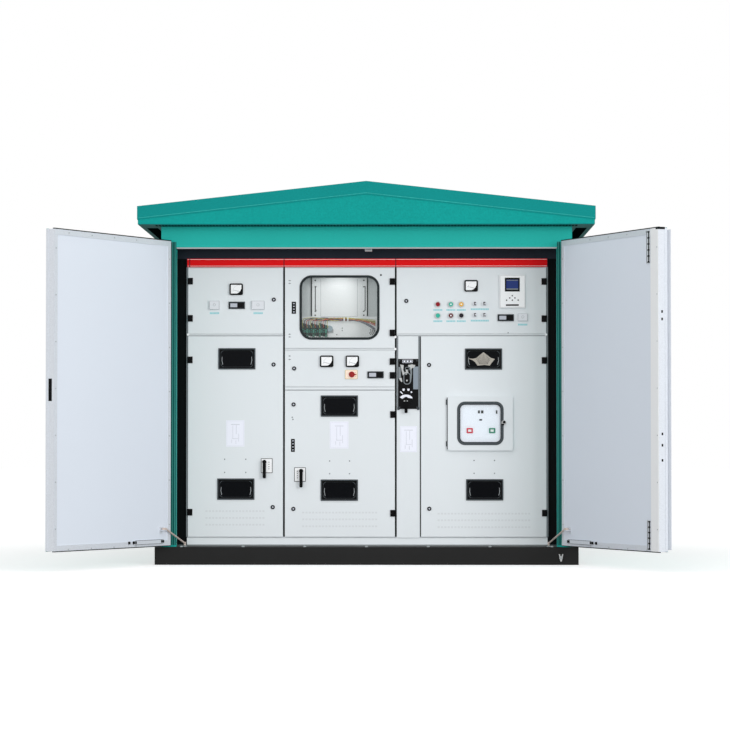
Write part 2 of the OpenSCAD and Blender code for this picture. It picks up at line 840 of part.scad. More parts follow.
// Sheet metal outside of a leaf, in the leaf's own place: hinge corner at the origin
module leaf_skin() {
    g = leaf_gauge;
    k = knuckle_radius;
    difference() {
        span([0, 0, 0], [leaf_width, leaf_thick / 2, leaf_height]);
        span([g, g, -1], [leaf_width + 1, leaf_thick, leaf_height + 1]);
        for (z = leaf_hinges)
            translate([0, 0, z - 30.5]) cylinder(h = 61, r = k + 1);
    }
    for (z = leaf_hinges) {
        translate([0, 0, z - 62]) cylinder(h = 124, r = pin_radius);
        for (e = [-62, 30.5])
            translate([0, 0, z + e]) cylinder(h = 31.5, r = k);
    }
}

// Aluminium angle frame round the inside and the edges of a leaf
module leaf_frame() {
    g = leaf_gauge;
    i = leaf_inset;
    e = leaf_edge;
    b = leaf_band;
    difference() {
        span([i, g, e], [leaf_width - e, leaf_thick, leaf_height - e]);
        span([i + g, 0, e + g], [leaf_width - e - g, leaf_thick - g, leaf_height - e - g]);
        span([i + b, 0, e + b], [leaf_width - e - b, leaf_thick + 1, leaf_height - e - b]);
    }
    z = stay_height - LZ;
    span([stay_reach - 14, leaf_thick - g, z - 16], [stay_reach + 14, leaf_thick, z + 20]);
    span([stay_reach - 14, leaf_thick - g, z], [stay_reach + 14, stay_out + 9, z + 4]);
    translate([stay_reach, stay_out, z]) cylinder(h = 20, r = 4);
}

// Pale inner sheet of a leaf
module leaf_panel() {
    g = leaf_gauge;
    i = leaf_inset + g;
    e = leaf_edge + g;
    span([i, leaf_thick - 2 * g, e], [leaf_width - e, leaf_thick - g, leaf_height - e]);
}

// Puts a leaf piece at the left hinge, standing open
module on_left() {
    translate([-PX, PY, LZ]) rotate([0, 0, -left_open]) children();
}

// Puts a leaf piece at the right hinge, standing open
module on_right() {
    translate([PX, PY, LZ]) rotate([0, 0, right_open]) mirror([1, 0, 0]) children();
}

module left_leaf_skin() {
    color(teal) on_left() leaf_skin();
}

module left_leaf_frame() {
    color(steel) on_left() leaf_frame();
}

module left_leaf_panel() {
    color(pale) on_left() leaf_panel();
}

module right_leaf_skin() {
    color(teal) on_right() leaf_skin();
}

module right_leaf_frame() {
    color(steel) on_right() leaf_frame();
}

module right_leaf_panel() {
    color(pale) on_right() leaf_panel();
}

// Overlap strip on the free edge, in front of the closed left leaf
module right_leaf_overlap() {
    color(steel) on_right() {
        span([leaf_width - 20, -6, leaf_inset], [leaf_width - 2, 0, leaf_height - leaf_inset]);
        span([leaf_width - 20, -9, leaf_inset], [leaf_width + 28, -6, leaf_height - leaf_inset]);
    }
}

// Hooked rod from a bracket eye down to the base
module stay(from, to) {
    z0 = stay_height + 9;
    z1 = ZF + 14;
    d = (to - from) / norm(to - from);
    color([0.6, 0.42, 0.3]) {
        difference() {
            union() {
                translate([from[0], from[1], z0 - 5]) cylinder(h = 12, r = 11);
                translate([from[0], from[1], z0]) rotate([0, 0, atan2(d[1], d[0])])
                    span([8, -stay_radius - 1, -4.5], [26, stay_radius + 1, 6.5]);
                bar([from[0] + d[0] * 19, from[1] + d[1] * 19, z0 + 1.3], [to[0], to[1], z1], stay_radius);
            }
            translate([from[0], from[1], z0 - 25]) cylinder(h = 50, r = 4 + pin_gap);
        }
        translate([to[0], to[1], ZF + 3]) cylinder(h = 19, r = stay_radius + 1);
    }
}

module left_stay() {
    stay(LB, [-EX, EY]);
}

module right_stay() {
    stay(RB, [EX, EY]);
}

base_frame();
base_cross_members();
floor_plate();
front_frame();
rear_frame();
left_wall();
right_wall();
left_louvred_doors();
right_louvred_doors();
rear_doors();
roof_skin();
roof_fascias();
soffit();
ceiling();
surround_panel();
lintel_strip();
ground_fittings();
left_cubicle();
middle_cubicle();
right_cubicle();
door_knuckles();
title_strip();
left_upper_door();
left_instruments();
middle_window_door();
middle_window_seal();
middle_window_pane();
wiring_plate();
middle_instrument_door();
middle_instruments();
right_upper_door();
right_instruments();
mechanism_panel();
mechanism_plate();
mechanism_handle();
selector_knob();
left_lower_door();
left_door_fittings();
left_door_panes();
left_door_handle();
middle_lower_door();
middle_door_fittings();
middle_door_panes();
middle_door_handle();
right_lower_door();
right_door_fittings();
right_door_panes();
window_box();
left_leaf_skin();
left_leaf_frame();
left_leaf_panel();
left_stay();
right_leaf_skin();
right_leaf_frame();
right_leaf_panel();
right_leaf_overlap();
right_stay();
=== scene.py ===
import math

import bmesh
import bpy
from mathutils import Matrix, Vector


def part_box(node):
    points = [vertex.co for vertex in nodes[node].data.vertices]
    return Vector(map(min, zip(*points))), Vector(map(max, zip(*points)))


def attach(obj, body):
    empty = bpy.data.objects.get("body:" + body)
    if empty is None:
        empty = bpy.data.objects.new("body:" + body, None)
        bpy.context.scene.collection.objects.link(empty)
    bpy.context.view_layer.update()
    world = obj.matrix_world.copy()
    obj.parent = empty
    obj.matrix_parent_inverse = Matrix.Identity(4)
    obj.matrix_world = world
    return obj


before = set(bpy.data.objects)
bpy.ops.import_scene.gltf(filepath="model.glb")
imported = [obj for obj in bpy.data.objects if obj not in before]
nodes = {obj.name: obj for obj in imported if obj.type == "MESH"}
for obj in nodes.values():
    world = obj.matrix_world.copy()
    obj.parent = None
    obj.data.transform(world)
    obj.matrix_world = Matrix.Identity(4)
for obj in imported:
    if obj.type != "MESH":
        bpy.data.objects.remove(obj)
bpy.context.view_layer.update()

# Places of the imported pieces, in millimetres.


def box_mm(node):
    lo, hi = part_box(node)
    return [1000 * v for v in lo], [1000 * v for v in hi]


# DY and CY are the front and the back of the title strip, and so of the cubicle doors below it.
# CX0 to CX3 are the cubicles' sides from left to right, ST and CT the strip's bottom and top.
# HX, HY and RX, RY are half of the base and of the roof, BX half of the shell's width, BZ the
# foot of its walls and FY its front face.
strip_lo, strip_hi = box_mm("title_strip")
DY, CY = strip_lo[1], strip_hi[1]
CX0, CX3 = strip_lo[0], strip_hi[0]
CX1 = box_mm("left_cubicle")[1][0]
CX2 = box_mm("middle_cubicle")[1][0]
ST, CT = strip_lo[2], strip_hi[2]
base_hi = box_mm("base_frame")[1]
HX, HY = base_hi[0], base_hi[1]
wall_lo = box_mm("left_wall")[0]
BX, BZ = -wall_lo[0], wall_lo[2]
roof_hi = box_mm("roof_skin")[1]
RX, RY = roof_hi[0], roof_hi[1]
soffit_z = box_mm("soffit")[0][2]
FY = box_mm("ceiling")[0][1]

# Each front leaf in its own place, with the hinge at the corner. It stands open in the photo.
LEAF_W, LEAF_T, LEAF_H = 1140.0, 50.0, 1725.0
JAMB_W = 87.0
PX, PY, LZ = BX - 25, FY - LEAF_T - 5, BZ + 10
LEFT = Matrix.Translation((-PX, PY, LZ)) @ Matrix.Rotation(math.radians(-119), 4, "Z")
RIGHT = (
    Matrix.Translation((PX, PY, LZ))
    @ Matrix.Rotation(math.radians(114), 4, "Z")
    @ Matrix.Scale(-1, 4, (1, 0, 0))
)


# Materials.


def linear(colour):
    """Blender's linear values for a colour given as 0 to 255."""
    shares = [v / 255 for v in colour]
    return [v / 12.92 if v <= 0.04045 else ((v + 0.055) / 1.055) ** 2.4 for v in shares]


def reckon(tree, operation, *terms):
    """A math node. Each term is a socket to link or a number to set."""
    node = tree.nodes.new("ShaderNodeMath")
    node.operation = operation
    for slot, term in zip(node.inputs, terms):
        if isinstance(term, float):
            slot.default_value = term
        else:
            tree.links.new(term, slot)
    return node.outputs[0]


def enamel_group():
    """Faint mottling and specks in a colour, and orange peel with soft edges in a normal."""
    g = bpy.data.node_groups.new("enamel", "ShaderNodeTree")
    g.interface.new_socket(name="Colour", in_out="INPUT", socket_type="NodeSocketColor")
    for name in ("Grain", "Bump", "Mottle", "Speckle", "Edge"):
        g.interface.new_socket(name=name, in_out="INPUT", socket_type="NodeSocketFloat")
    g.interface.new_socket(name="Colour", in_out="OUTPUT", socket_type="NodeSocketColor")
    g.interface.new_socket(name="Normal", in_out="OUTPUT", socket_type="NodeSocketVector")
    n, link = g.nodes, g.links.new
    given, result = n.new("NodeGroupInput").outputs, n.new("NodeGroupOutput").inputs
    place = n.new("ShaderNodeNewGeometry").outputs["Position"]
    fine = n.new("ShaderNodeTexNoise")
    fine.inputs["Detail"].default_value = 3.0
    link(given["Grain"], fine.inputs["Scale"])
    wide = n.new("ShaderNodeTexNoise")
    wide.inputs["Scale"].default_value = 2.2
    wide.inputs["Detail"].default_value = 4.0
    for noise in (fine, wide):
        link(place, noise.inputs["Vector"])
    mottle = reckon(g, "SUBTRACT", wide.outputs["Fac"], 0.5)
    specks = reckon(g, "SUBTRACT", fine.outputs["Fac"], 0.5)
    level = reckon(g, "MULTIPLY_ADD", mottle, given["Mottle"], 1.0)
    level = reckon(g, "MULTIPLY_ADD", specks, given["Speckle"], level)
    tint = n.new("ShaderNodeVectorMath")
    tint.operation = "SCALE"
    link(given["Colour"], tint.inputs[0])
    link(level, tint.inputs["Scale"])
    link(tint.outputs[0], result["Colour"])
    soft_edge = n.new("ShaderNodeBevel")
    soft_edge.samples = 4
    link(given["Edge"], soft_edge.inputs["Radius"])
    peel = n.new("ShaderNodeBump")
    peel.inputs["Distance"].default_value = 0.001
    link(given["Bump"], peel.inputs["Strength"])
    link(fine.outputs["Fac"], peel.inputs["Height"])
    link(soft_edge.outputs["Normal"], peel.inputs["Normal"])
    link(peel.outputs["Normal"], result["Normal"])
    return g


ENAMEL = enamel_group()


def blank_material(name):
    m = bpy.data.materials.new(name)
    m.use_nodes = True
    m.node_tree.nodes.clear()
    return m, m.node_tree.nodes, m.node_tree.links.new


def paint(name, colour, rough=0.45, metal=0.0, grain=600.0, bump=0.05, mottle=0.06, edge=0.0,
          shine=0.3, speckle=0.0):
    """A painted or metal surface. What is the same all over is set on the shader itself."""
    m, n, link = blank_material(name)
    coat = n.new("ShaderNodeBsdfPrincipled")
    coat.inputs["Base Color"].default_value = (*linear(colour), 1.0)
    coat.inputs["Roughness"].default_value = rough
    coat.inputs["Metallic"].default_value = metal
    coat.inputs["Specular IOR Level"].default_value = shine
    out = n.new("ShaderNodeOutputMaterial")
    link(coat.outputs[0], out.inputs["Surface"])
    if not (bump or mottle or edge or speckle):
        return m
    enamel = n.new("ShaderNodeGroup")
    enamel.node_tree = ENAMEL
    for key, value in (
        ("Colour", (*linear(colour), 1.0)),
        ("Grain", grain),
        ("Bump", bump),
        ("Mottle", mottle),
        ("Speckle", speckle),
        ("Edge", edge),
    ):
        enamel.inputs[key].default_value = value
    if mottle or speckle:
        link(enamel.outputs["Colour"], coat.inputs["Base Color"])
    if bump or edge:
        link(enamel.outputs["Normal"], coat.inputs["Normal"])
    return m


def glass(name, tint, clear, rough=0.03):
    """Sheet glass: mostly clear, with a mirror layer that grows at grazing angles."""
    m, n, link = blank_material(name)
    thin = n.new("ShaderNodeBsdfTransparent")
    thin.inputs["Color"].default_value = (*clear, 1.0)
    body = n.new("ShaderNodeBsdfPrincipled")
    body.inputs["Base Color"].default_value = (*linear(tint), 1.0)
    body.inputs["Roughness"].default_value = rough
    mirror = n.new("ShaderNodeFresnel")
    mirror.inputs["IOR"].default_value = 1.45
    mix = n.new("ShaderNodeMixShader")
    link(mirror.outputs[0], mix.inputs[0])
    link(thin.outputs[0], mix.inputs[1])
    link(body.outputs[0], mix.inputs[2])
    out = n.new("ShaderNodeOutputMaterial")
    link(mix.outputs[0], out.inputs["Surface"])
    return m


SHEET_COAT = {
    "grain": 150, "bump": 0.2, "mottle": 0.10, "edge": 0.002, "shine": 0.12, "speckle": 0.5,
}
# A lighter copy of the teal paint for the front frame: painted light, as the frame is the same teal as
# the walls.
LIT_TEAL = paint("lit teal paint", (40, 177, 167), 0.42, **SHEET_COAT)
TEAL = paint("teal paint", (13, 149, 143), 0.45, **SHEET_COAT)
SEAM_GLINT = paint("seam glint", (66, 186, 176), 0.4, grain=150, bump=0.2, mottle=0.6, speckle=2.0)
# A darker copy of the teal paint: painted shade on the roof band, the soffit, the louvred side doors and
# the leaves' outer trim.
SHADED_TEAL = paint("shaded teal paint", (12, 136, 133), 0.45, **SHEET_COAT)
BASE_BLACK = paint("black base paint", (40, 40, 40), 0.6, grain=300, bump=0.2, mottle=0.25, edge=0.002,
                   shine=0.1)
FLOOR_STEEL = paint("floor steel", (120, 124, 124), 0.5, 0.6, grain=90, bump=0.3, mottle=0.3)
ZINC = paint("galvanised steel", (186, 192, 194), 0.42, 0.4, grain=55, bump=0.08, mottle=0.35,
             edge=0.001)
CUBICLE_PAINT = paint("cubicle paint", (224, 229, 232), 0.5, grain=500, bump=0.08, mottle=0.03,
                      edge=0.0015, shine=0.2)
INNER_PAINT = paint("inner plate paint", (232, 234, 236), 0.5, mottle=0.04)
DARK_SURROUND = paint("dark surround", (42, 47, 56), 0.6, mottle=0.2, shine=0.15)
CEILING_WHITE = paint("ceiling white", (190, 196, 196), 0.6)
TITLE_RED = paint("title red", (226, 22, 26), 0.45, bump=0.03, mottle=0.05, shine=0.1)
KNOB_RED = paint("knob red", (160, 40, 40), 0.3, bump=0.0, shine=0.3)
INSTRUMENT_BLACK = paint("instrument black", (12, 12, 14), 0.45, bump=0.1, mottle=0.1, edge=0.001,
                         shine=0.2)
FITTING = paint("fitting black", (7, 7, 8), 0.4, bump=0.08, mottle=0.1, edge=0.001, shine=0.15)
# Black rubber of gaskets and seal lips, also used for the dark strips in the door gaps, which are
# painted shade.
RUBBER_AND_GAP_SHADE = paint("seal rubber and gap shade", (12, 13, 14), 0.65, bump=0.2, mottle=0.15, edge=0.002, shine=0.15)
BEAD_GREY = paint("grey bead", (74, 80, 84), 0.5, bump=0.1, mottle=0.15, shine=0.2)
ALUMINIUM = paint("leaf aluminium", (219, 224, 231), 0.42, 0.1, grain=160, bump=0.05, mottle=0.05,
            edge=0.001, speckle=0.25)
LEAF_PAINT = paint("leaf pale paint", (227, 234, 244), 0.55, bump=0.05, mottle=0.02, shine=0.15)
STAY_COPPER = paint("stay copper", (220, 204, 194), 0.4, 0.3, bump=0.1, mottle=0.2)
FRAME_GREY = paint("frame grey", (62, 67, 71), 0.42, bump=0.1, mottle=0.12, edge=0.002, shine=0.2)
TERMINAL_BLACK = paint("terminal black", (16, 26, 24), 0.5, bump=0.1, mottle=0.5)
TERMINAL_PALE = paint("terminal pale green", (70, 124, 106), 0.5, bump=0.1, mottle=0.8)
STRIP_BLUE = paint("strip blue grey", (142, 152, 163), 0.4, 0.1, mottle=0.25)
SURROUND_SIDE_SHADE = paint("surround side shade", (15, 18, 19), 0.6, mottle=0.2, shine=0.1)
# Jamb strips: painted shade of the stepped jamb, and painted highlights on its lips.
JAMB_SHADE = paint("jamb painted shade", (14, 88, 83), 0.5, bump=0.1, mottle=0.15, shine=0.2)
JAMB_LIP_HIGHLIGHT = paint("jamb lip highlights", (70, 160, 150), 0.4, bump=0.1, mottle=0.15, shine=0.2)
WINDOW_SEAL = paint("window seal", (40, 46, 48), 0.5, bump=0.15, mottle=0.15, edge=0.002, shine=0.25)
LOCK_RING = paint("lock ring", (26, 28, 30), 0.4, bump=0.0, shine=0.2)
MID_GREY = paint("mid grey", (128, 134, 138), 0.5, mottle=0.1)
# Grey of seams, folds and rims, also used for the pale strips in the windows, which are painted
# reflections.
SEAM_GREY_AND_GLEAM = paint("seam grey and window gleam", (166, 171, 174), 0.6, mottle=0.0)
PLAIN_WHITE = paint("plain white", (246, 247, 248), 0.5, bump=0.02, mottle=0.01)
LABEL_WHITE = paint("label white", (238, 240, 250), 0.6, bump=0.0, mottle=0.02)
FAINT_PRINT = paint("faint print", (196, 198, 208), 0.6, bump=0.0, mottle=0.0)
CAPTION_CYAN = paint("caption cyan", (150, 206, 212), 0.5, bump=0.0, mottle=0.0)
SELECTOR_PEACH = paint("selector plate", (254, 232, 214), 0.5, bump=0.0, mottle=0.03)
SELECTOR_OLIVE = paint("selector edge", (200, 190, 110), 0.5, bump=0.0)
RELAY_BLUE = paint("relay screen", (30, 52, 118), 0.12, bump=0.0, mottle=0.5, shine=0.3)
DISPLAY_GREY = paint("display grey", (186, 190, 200), 0.3, bump=0.0, mottle=0.1)
LAMP_RED = paint("lamp red", (140, 18, 34), 0.2, bump=0.0)
LAMP_DARK_RED = paint("lamp dark red", (96, 16, 28), 0.2, bump=0.0)
LAMP_GREEN = paint("lamp green", (56, 178, 156), 0.2, bump=0.0)
LAMP_AMBER = paint("lamp amber", (232, 174, 60), 0.2, bump=0.0)
LAMP_DARK = paint("lamp dark", (34, 30, 38), 0.2, bump=0.0)
CLEAR_COVER = paint("clear cover", (222, 225, 230), 0.2, bump=0.0, mottle=0.05)
BUTTON_RED = paint("button red", (206, 40, 66), 0.3, bump=0.0)
BUTTON_GREEN = paint("button green", (20, 128, 100), 0.3, bump=0.0)
TERMINAL_GREEN = paint("terminal green", (20, 62, 52), 0.5, bump=0.1, mottle=0.8)
BLUE_GREY = paint("blue grey", (158, 176, 186), 0.4, 0.1, mottle=0.2)
SIDE_SHADE = paint("side shade", (196, 201, 203), 0.6, mottle=0.1)
BRIGHT_STEEL = paint("bright steel", (212, 214, 214), 0.3, 0.5, bump=0.05, mottle=0.15, edge=0.0005)
WIRE_YELLOW = paint("wire yellow", (188, 180, 92), 0.45, bump=0.0)
WIRE_RED = paint("wire red", (196, 84, 66), 0.45, bump=0.0)
WIRE_BROWN = paint("wire brown", (74, 52, 50), 0.45, bump=0.0)
WIRE_GREY = paint("wire grey", (98, 96, 110), 0.45, bump=0.0)
VENT_SHADOW_AND_JOINTS = paint("vent shadow and joints", (6, 20, 20), 0.8, bump=0.0, mottle=0.0, shine=0.0)
SLOT_SHADE = paint("slot shade", (215, 219, 222), 0.7, bump=0.0, mottle=0.0)
SLOT_LIP_SHADE = paint("slot lip shade", (203, 208, 211), 0.7, bump=0.0, mottle=0.0)
INSULATOR = paint("insulator", (180, 174, 164), 0.4, bump=0.05, mottle=0.3)
CLEAR_PANE = glass("clear pane", (235, 242, 242), (0.985, 0.99, 0.985))
# Opaque near-black panes: the glass, with painted shade of the unlit cubicle inside behind it.
PANE_INTERIOR_SHADE = paint("dark pane, painted interior shade", (7, 9, 13), 0.08, bump=0.0, mottle=0.1, shine=0.1)

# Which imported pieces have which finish. The others have the cubicles' paint.
FINISHES = (
    (LIT_TEAL, ("front_frame",)),
    (TEAL, ("rear_frame", "left_wall", "right_wall", "rear_doors", "roof_fascias",
            "left_leaf_skin", "right_leaf_skin")),
    (SHADED_TEAL, ("left_louvred_doors", "right_louvred_doors", "roof_skin", "soffit")),
    (BASE_BLACK, ("base_frame", "base_cross_members")),
    (FLOOR_STEEL, ("floor_plate",)),
    (CEILING_WHITE, ("ceiling",)),
    (DARK_SURROUND, ("surround_panel",)),
    (ZINC, ("lintel_strip", "ground_fittings")),
    (INNER_PAINT, ("wiring_plate",)),
    (TITLE_RED, ("title_strip",)),
    (KNOB_RED, ("selector_knob",)),
    (INSTRUMENT_BLACK, ("left_instruments", "middle_instruments", "right_instruments",
                        "mechanism_plate")),
    (FITTING, ("door_knuckles", "mechanism_handle", "left_door_fittings", "middle_door_fittings",
               "right_door_fittings", "left_door_handle", "middle_door_handle")),
    (WINDOW_SEAL, ("middle_window_seal",)),
    (CLEAR_PANE, ("middle_window_pane",)),
    (PANE_INTERIOR_SHADE, ("left_door_panes", "middle_door_panes", "right_door_panes")),
    (ALUMINIUM, ("left_leaf_frame", "right_leaf_frame", "right_leaf_overlap")),
    (LEAF_PAINT, ("left_leaf_panel", "right_leaf_panel")),
    (STAY_COPPER, ("left_stay", "right_stay")),
)
finish_of = {node: finish for finish, group in FINISHES for node in group}
for key, obj in nodes.items():
    obj.data.materials.clear()
    obj.data.materials.append(finish_of.get(key, CUBICLE_PAINT))


# Joined pieces.


class Batch:
    """Many small solids of one material on one body, joined in one mesh. Sizes in millimetres."""

    def __init__(self, name, body, mat, place=None):
        self.name, self.body, self.mat = name, body, mat
        self.place = place or Matrix.Identity(4)
        self.v, self.f, self.smooth = [], [], []

    def add(self, verts, faces, smooth=False):
        b = len(self.v)
        self.v += [self.place @ Vector(p) for p in verts]
        self.f += [[b + i for i in f] for f in faces]
        self.smooth += [smooth] * len(faces)
        return self

    def box(self, a, b):
        x0, y0, z0 = a
        x1, y1, z1 = b
        v = [(x, y, z) for x in (x0, x1) for y in (y0, y1) for z in (z0, z1)]
        f = [(0, 1, 3, 2), (4, 6, 7, 5), (0, 4, 5, 1), (2, 3, 7, 6), (0, 2, 6, 4), (1, 5, 7, 3)]
        return self.add(v, f)

    def front(self, x, z, w, h, y0, y1):
        """A block on a front, by its middle."""
        return self.box((x - w / 2, y0, z - h / 2), (x + w / 2, y1, z + h / 2))

    def prism(self, pts, y0, y1):
        """An outline in X and Z, carried from y0 to y1."""
        n = len(pts)
        v = [(x, y0, z) for x, z in pts] + [(x, y1, z) for x, z in pts]
        f = [list(range(n)), list(range(2 * n - 1, n - 1, -1))]
        f += [(i, i + n, (i + 1) % n + n, (i + 1) % n) for i in range(n)]
        return self.add(v, f)

    def rod(self, pts, r, n=8):
        """A round bar along points."""
        pts = [Vector(p) for p in pts]
        rings = []
        for i, p in enumerate(pts):
            a = pts[max(i - 1, 0)]
            c = pts[min(i + 1, len(pts) - 1)]
            d = (c - a).normalized()
            u = d.orthogonal().normalized() if not rings else (u - d * u.dot(d)).normalized()
            w = d.cross(u)
            rings.append([p + (u * math.cos(t) + w * math.sin(t)) * r
                          for t in (2 * math.pi * k / n for k in range(n))])
        v = [q for ring in rings for q in ring]
        f = [(i * n + k, i * n + (k + 1) % n, (i + 1) * n + (k + 1) % n, (i + 1) * n + k)
             for i in range(len(pts) - 1) for k in range(n)]
        self.add(v, f, True)
        b = len(self.f)
        self.add(v[:n], [list(range(n))])
        self.add(v[-n:], [list(range(n))])
        return self

    def disc(self, x, z, r, y0, y1, n=20):
        """A round boss on a front."""
        return self.rod([(x, y0, z), (x, y1, z)], r, n)

    def ring(self, x, z, w, h, band, r, y0, y1, seg=8):
        """A frame with round corners, facing the front."""
        def outline(w, h, r):
            out = []
            for cx, cz, a0 in ((1, 1, 0), (-1, 1, 90), (-1, -1, 180), (1, -1, 270)):
                for k in range(seg + 1):
                    a = math.radians(a0 + 90 * k / seg)
                    out.append((x + cx * (w / 2 - r) + r * math.cos(a),
                                z + cz * (h / 2 - r) + r * math.sin(a)))
            return out
        o, i = outline(w, h, r), outline(w - 2 * band, h - 2 * band, max(r - band, 0.5))
        n = len(o)
        v = [(a, y0, b) for a, b in o] + [(a, y0, b) for a, b in i]
        v += [(a, y1, b) for a, b in o] + [(a, y1, b) for a, b in i]
        f = []
        for k in range(n):
            j = (k + 1) % n
            f += [(k, j, n + j, n + k), (2 * n + k, 3 * n + k, 3 * n + j, 2 * n + j),
                  (k, 2 * n + k, 2 * n + j, j), (n + k, n + j, 3 * n + j, 3 * n + k)]
        return self.add(v, f)

    def done(self, bevel=0.0):
        me = bpy.data.meshes.new(self.name)
        me.from_pydata([p * 0.001 for p in self.v], [], self.f)
        me.polygons.foreach_set("use_smooth", self.smooth)
        bm = bmesh.new()
        bm.from_mesh(me)
        bmesh.ops.recalc_face_normals(bm, faces=bm.faces)
        bm.to_mesh(me)
        bm.free()
        me.materials.append(self.mat)
        o = bpy.data.objects.new(self.name, me)
        bpy.context.scene.collection.objects.link(o)
        if bevel:
            b = o.modifiers.new("edge", "BEVEL")
            b.width, b.segments, b.limit_method = bevel * 0.001, 2, "ANGLE"
        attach(o, self.body)
        return o


SHELL = "substation"


def piece(name, mat, body=SHELL, place=None):
    return Batch(name, body, mat, place)


# Roof, soffit and shell.

# Dark boxes on the soffit: painted shadow in the vent openings.
vents = piece("soffit_vents", VENT_SHADOW_AND_JOINTS)
for side in (-1, 1):
    for k in range(-66, 67):
        y = side * (RY - 110)
        vents.box((k * 18 - 5.8, y - 48, soffit_z - 0.6), (k * 18 + 5.8, y + 48, soffit_z + 0.2))
    for k in range(-80, 81):
        x = side * (RX - 62)
        vents.box((x - 32, k * 18 - 5.8, soffit_z - 0.6), (x + 32, k * 18 + 5.8, soffit_z + 0.2))
vents.done()

# Light teal strips along the roof's verges: the seam between roof band and fascia, with a painted
# highlight along it.
seams = piece("verge_seam_highlights", SEAM_GLINT)
for side in (-1, 1):
    for s in (-1, 1):
        z0 = roof_hi[2] - 141 - 68
        seams.prism([(s * (RX - 6), z0), (0, z0 + 141), (0, z0 + 142.6), (s * (RX - 6), z0 + 1.6)],
                    side * (RY + 1.0), side * (RY - 0.4))
seams.done()

# Dark lines on the side walls at the joints between the wall sheets.
trim = piece("wall_seams", VENT_SHADOW_AND_JOINTS)
for s in (-1, 1):
    for y in (-1100, -720, 1300):
        trim.box((s * (BX - 0.2), y - 1.5, BZ + 20), (s * (BX + 0.5), y + 1.5, soffit_z - 10))
trim.done()

ribs = piece("wall_screws", ZINC)
for s in (-1, 1):
    for y in (-1130, -1070, -750, -690, 1270, 1330):
        for z in range(180, 1900, 210):
            ribs.rod([(s * (BX - 0.5), y, z), (s * (BX + 2), y, z)], 4.5, 8)
ribs.done()

mesh = piece("louvre_gauze", FRAME_GREY)
side_furniture = piece("side_door_furniture", ZINC)
side_black = piece("side_door_locks", FITTING)
lv_lo, lv_hi = box_mm("left_louvred_doors")
for s in (-1, 1):
    y_mid = (lv_lo[1] + lv_hi[1]) / 2
    for y0, y1 in ((lv_lo[1] + 20, y_mid - 25), (y_mid + 25, lv_hi[1] - 20)):
        mesh.box((s * (BX - 42.5), y0, lv_lo[2] + 40), (s * (BX - 41), y1, lv_hi[2] - 40))
    for y in (lv_lo[1], lv_hi[1]):
        for z in (lv_lo[2] + 180, (lv_lo[2] + lv_hi[2]) / 2, lv_hi[2] - 180):
            side_furniture.rod([(s * (BX + 5), y, z - 45), (s * (BX + 5), y, z + 45)], 7, 12)
            side_furniture.box((s * BX, y - 26, z - 30), (s * (BX + 2.5), y + 26, z + 30))
    side_black.box((s * BX, y_mid + 20, 880), (s * (BX + 5), y_mid + 58, 1080))
    side_black.rod([(s * (BX + 5), y_mid + 39, 1050), (s * (BX + 26), y_mid + 39, 1050)], 8, 12)
    side_black.box((s * (BX + 20), y_mid + 30, 920), (s * (BX + 32), y_mid + 48, 1060))
mesh.done()
side_furniture.done(0.6)
side_black.done(1.0)

REAR_Y = -FY + 50
rear = piece("rear_door_furniture", FITTING)
rear.front(60, 970, 40, 200, REAR_Y, REAR_Y + 5)
rear.rod([(60, REAR_Y + 5, 1040), (60, REAR_Y + 26, 1040)], 9, 12)
rear.front(60, 980, 20, 150, REAR_Y + 20, REAR_Y + 32)
rear.done(1.0)
rear_hinges = piece("rear_door_hinges", ZINC)
rear_ribs = piece("rear_door_ribs", TEAL)
for s in (-1, 1):
    for z in (LZ + 260, LZ + LEAF_H / 2, LZ + LEAF_H - 260):
        rear_hinges.rod([(s * PX, REAR_Y - 2, z - 60), (s * PX, REAR_Y - 2, z + 60)], 8, 12)
    rear_ribs.ring(s * (PX / 2 + 2), LZ + LEAF_H / 2, PX - 130, LEAF_H - 130, 10, 14, REAR_Y, REAR_Y + 3)
rear_hinges.done()
rear_ribs.done(1.0)

clamp = piece("earthing_clamp", BRIGHT_STEEL)
for z0, y in ((20, -HY - 9), (20, -HY - 11.5)):
    clamp.prism([(HX - 113, 62), (HX - 106, 62), (HX - 100, 38), (HX - 94, 62), (HX - 87, 62),
                 (HX - 96, z0), (HX - 104, z0)], y, y + 2)
clamp.done(0.5)
base_bits = piece("base_bolts", ZINC)
for s in (-1, 1):
    for x in range(-1050, 1051, 350):
        base_bits.rod([(x, s * (HY - 30), BZ - 1), (x, s * (HY - 30), BZ + 7)], 9, 6)
base_bits.done(0.6)

# Title strip with plain edge lines.

lines = piece("title_lines", PLAIN_WHITE)
for z in (ST + 5.5, CT - 4.5):
    lines.box((CX0 + 2, DY - 0.5, z - 0.9), (CX3 - 2, DY + 0.2, z + 0.9))
lines.done()
joints = piece("title_joints", LAMP_DARK_RED)
for x in (CX0 + 14, CX1, CX2):
    joints.box((x - 2.5, DY - 0.7, ST), (x + 2.5, DY + 0.2, CT))
joints.done()

# Flat strips on both jambs: painted shade along the jamb's stepped face, and lighter lines on it as
# painted highlights on the lips.

profile = piece("jamb_profile_shade", JAMB_SHADE)
profile_lips = piece("jamb_lip_highlights", JAMB_LIP_HIGHLIGHT)
for s in (-1, 1):
    near, top = BX - JAMB_W + 1, LZ + LEAF_H
    x0, x1 = sorted((s * near, s * (near + 38)))
    profile.box((x0, FY - 0.9, LZ), (x1, FY + 0.2, top))
    for k in (7, 21, 35):
        x0, x1 = sorted((s * (near + k - 1.5), s * (near + k + 1.5)))
        profile_lips.box((x0, FY - 1.8, LZ), (x1, FY - 0.8, top))
profile.done(0.8)
profile_lips.done(0.5)

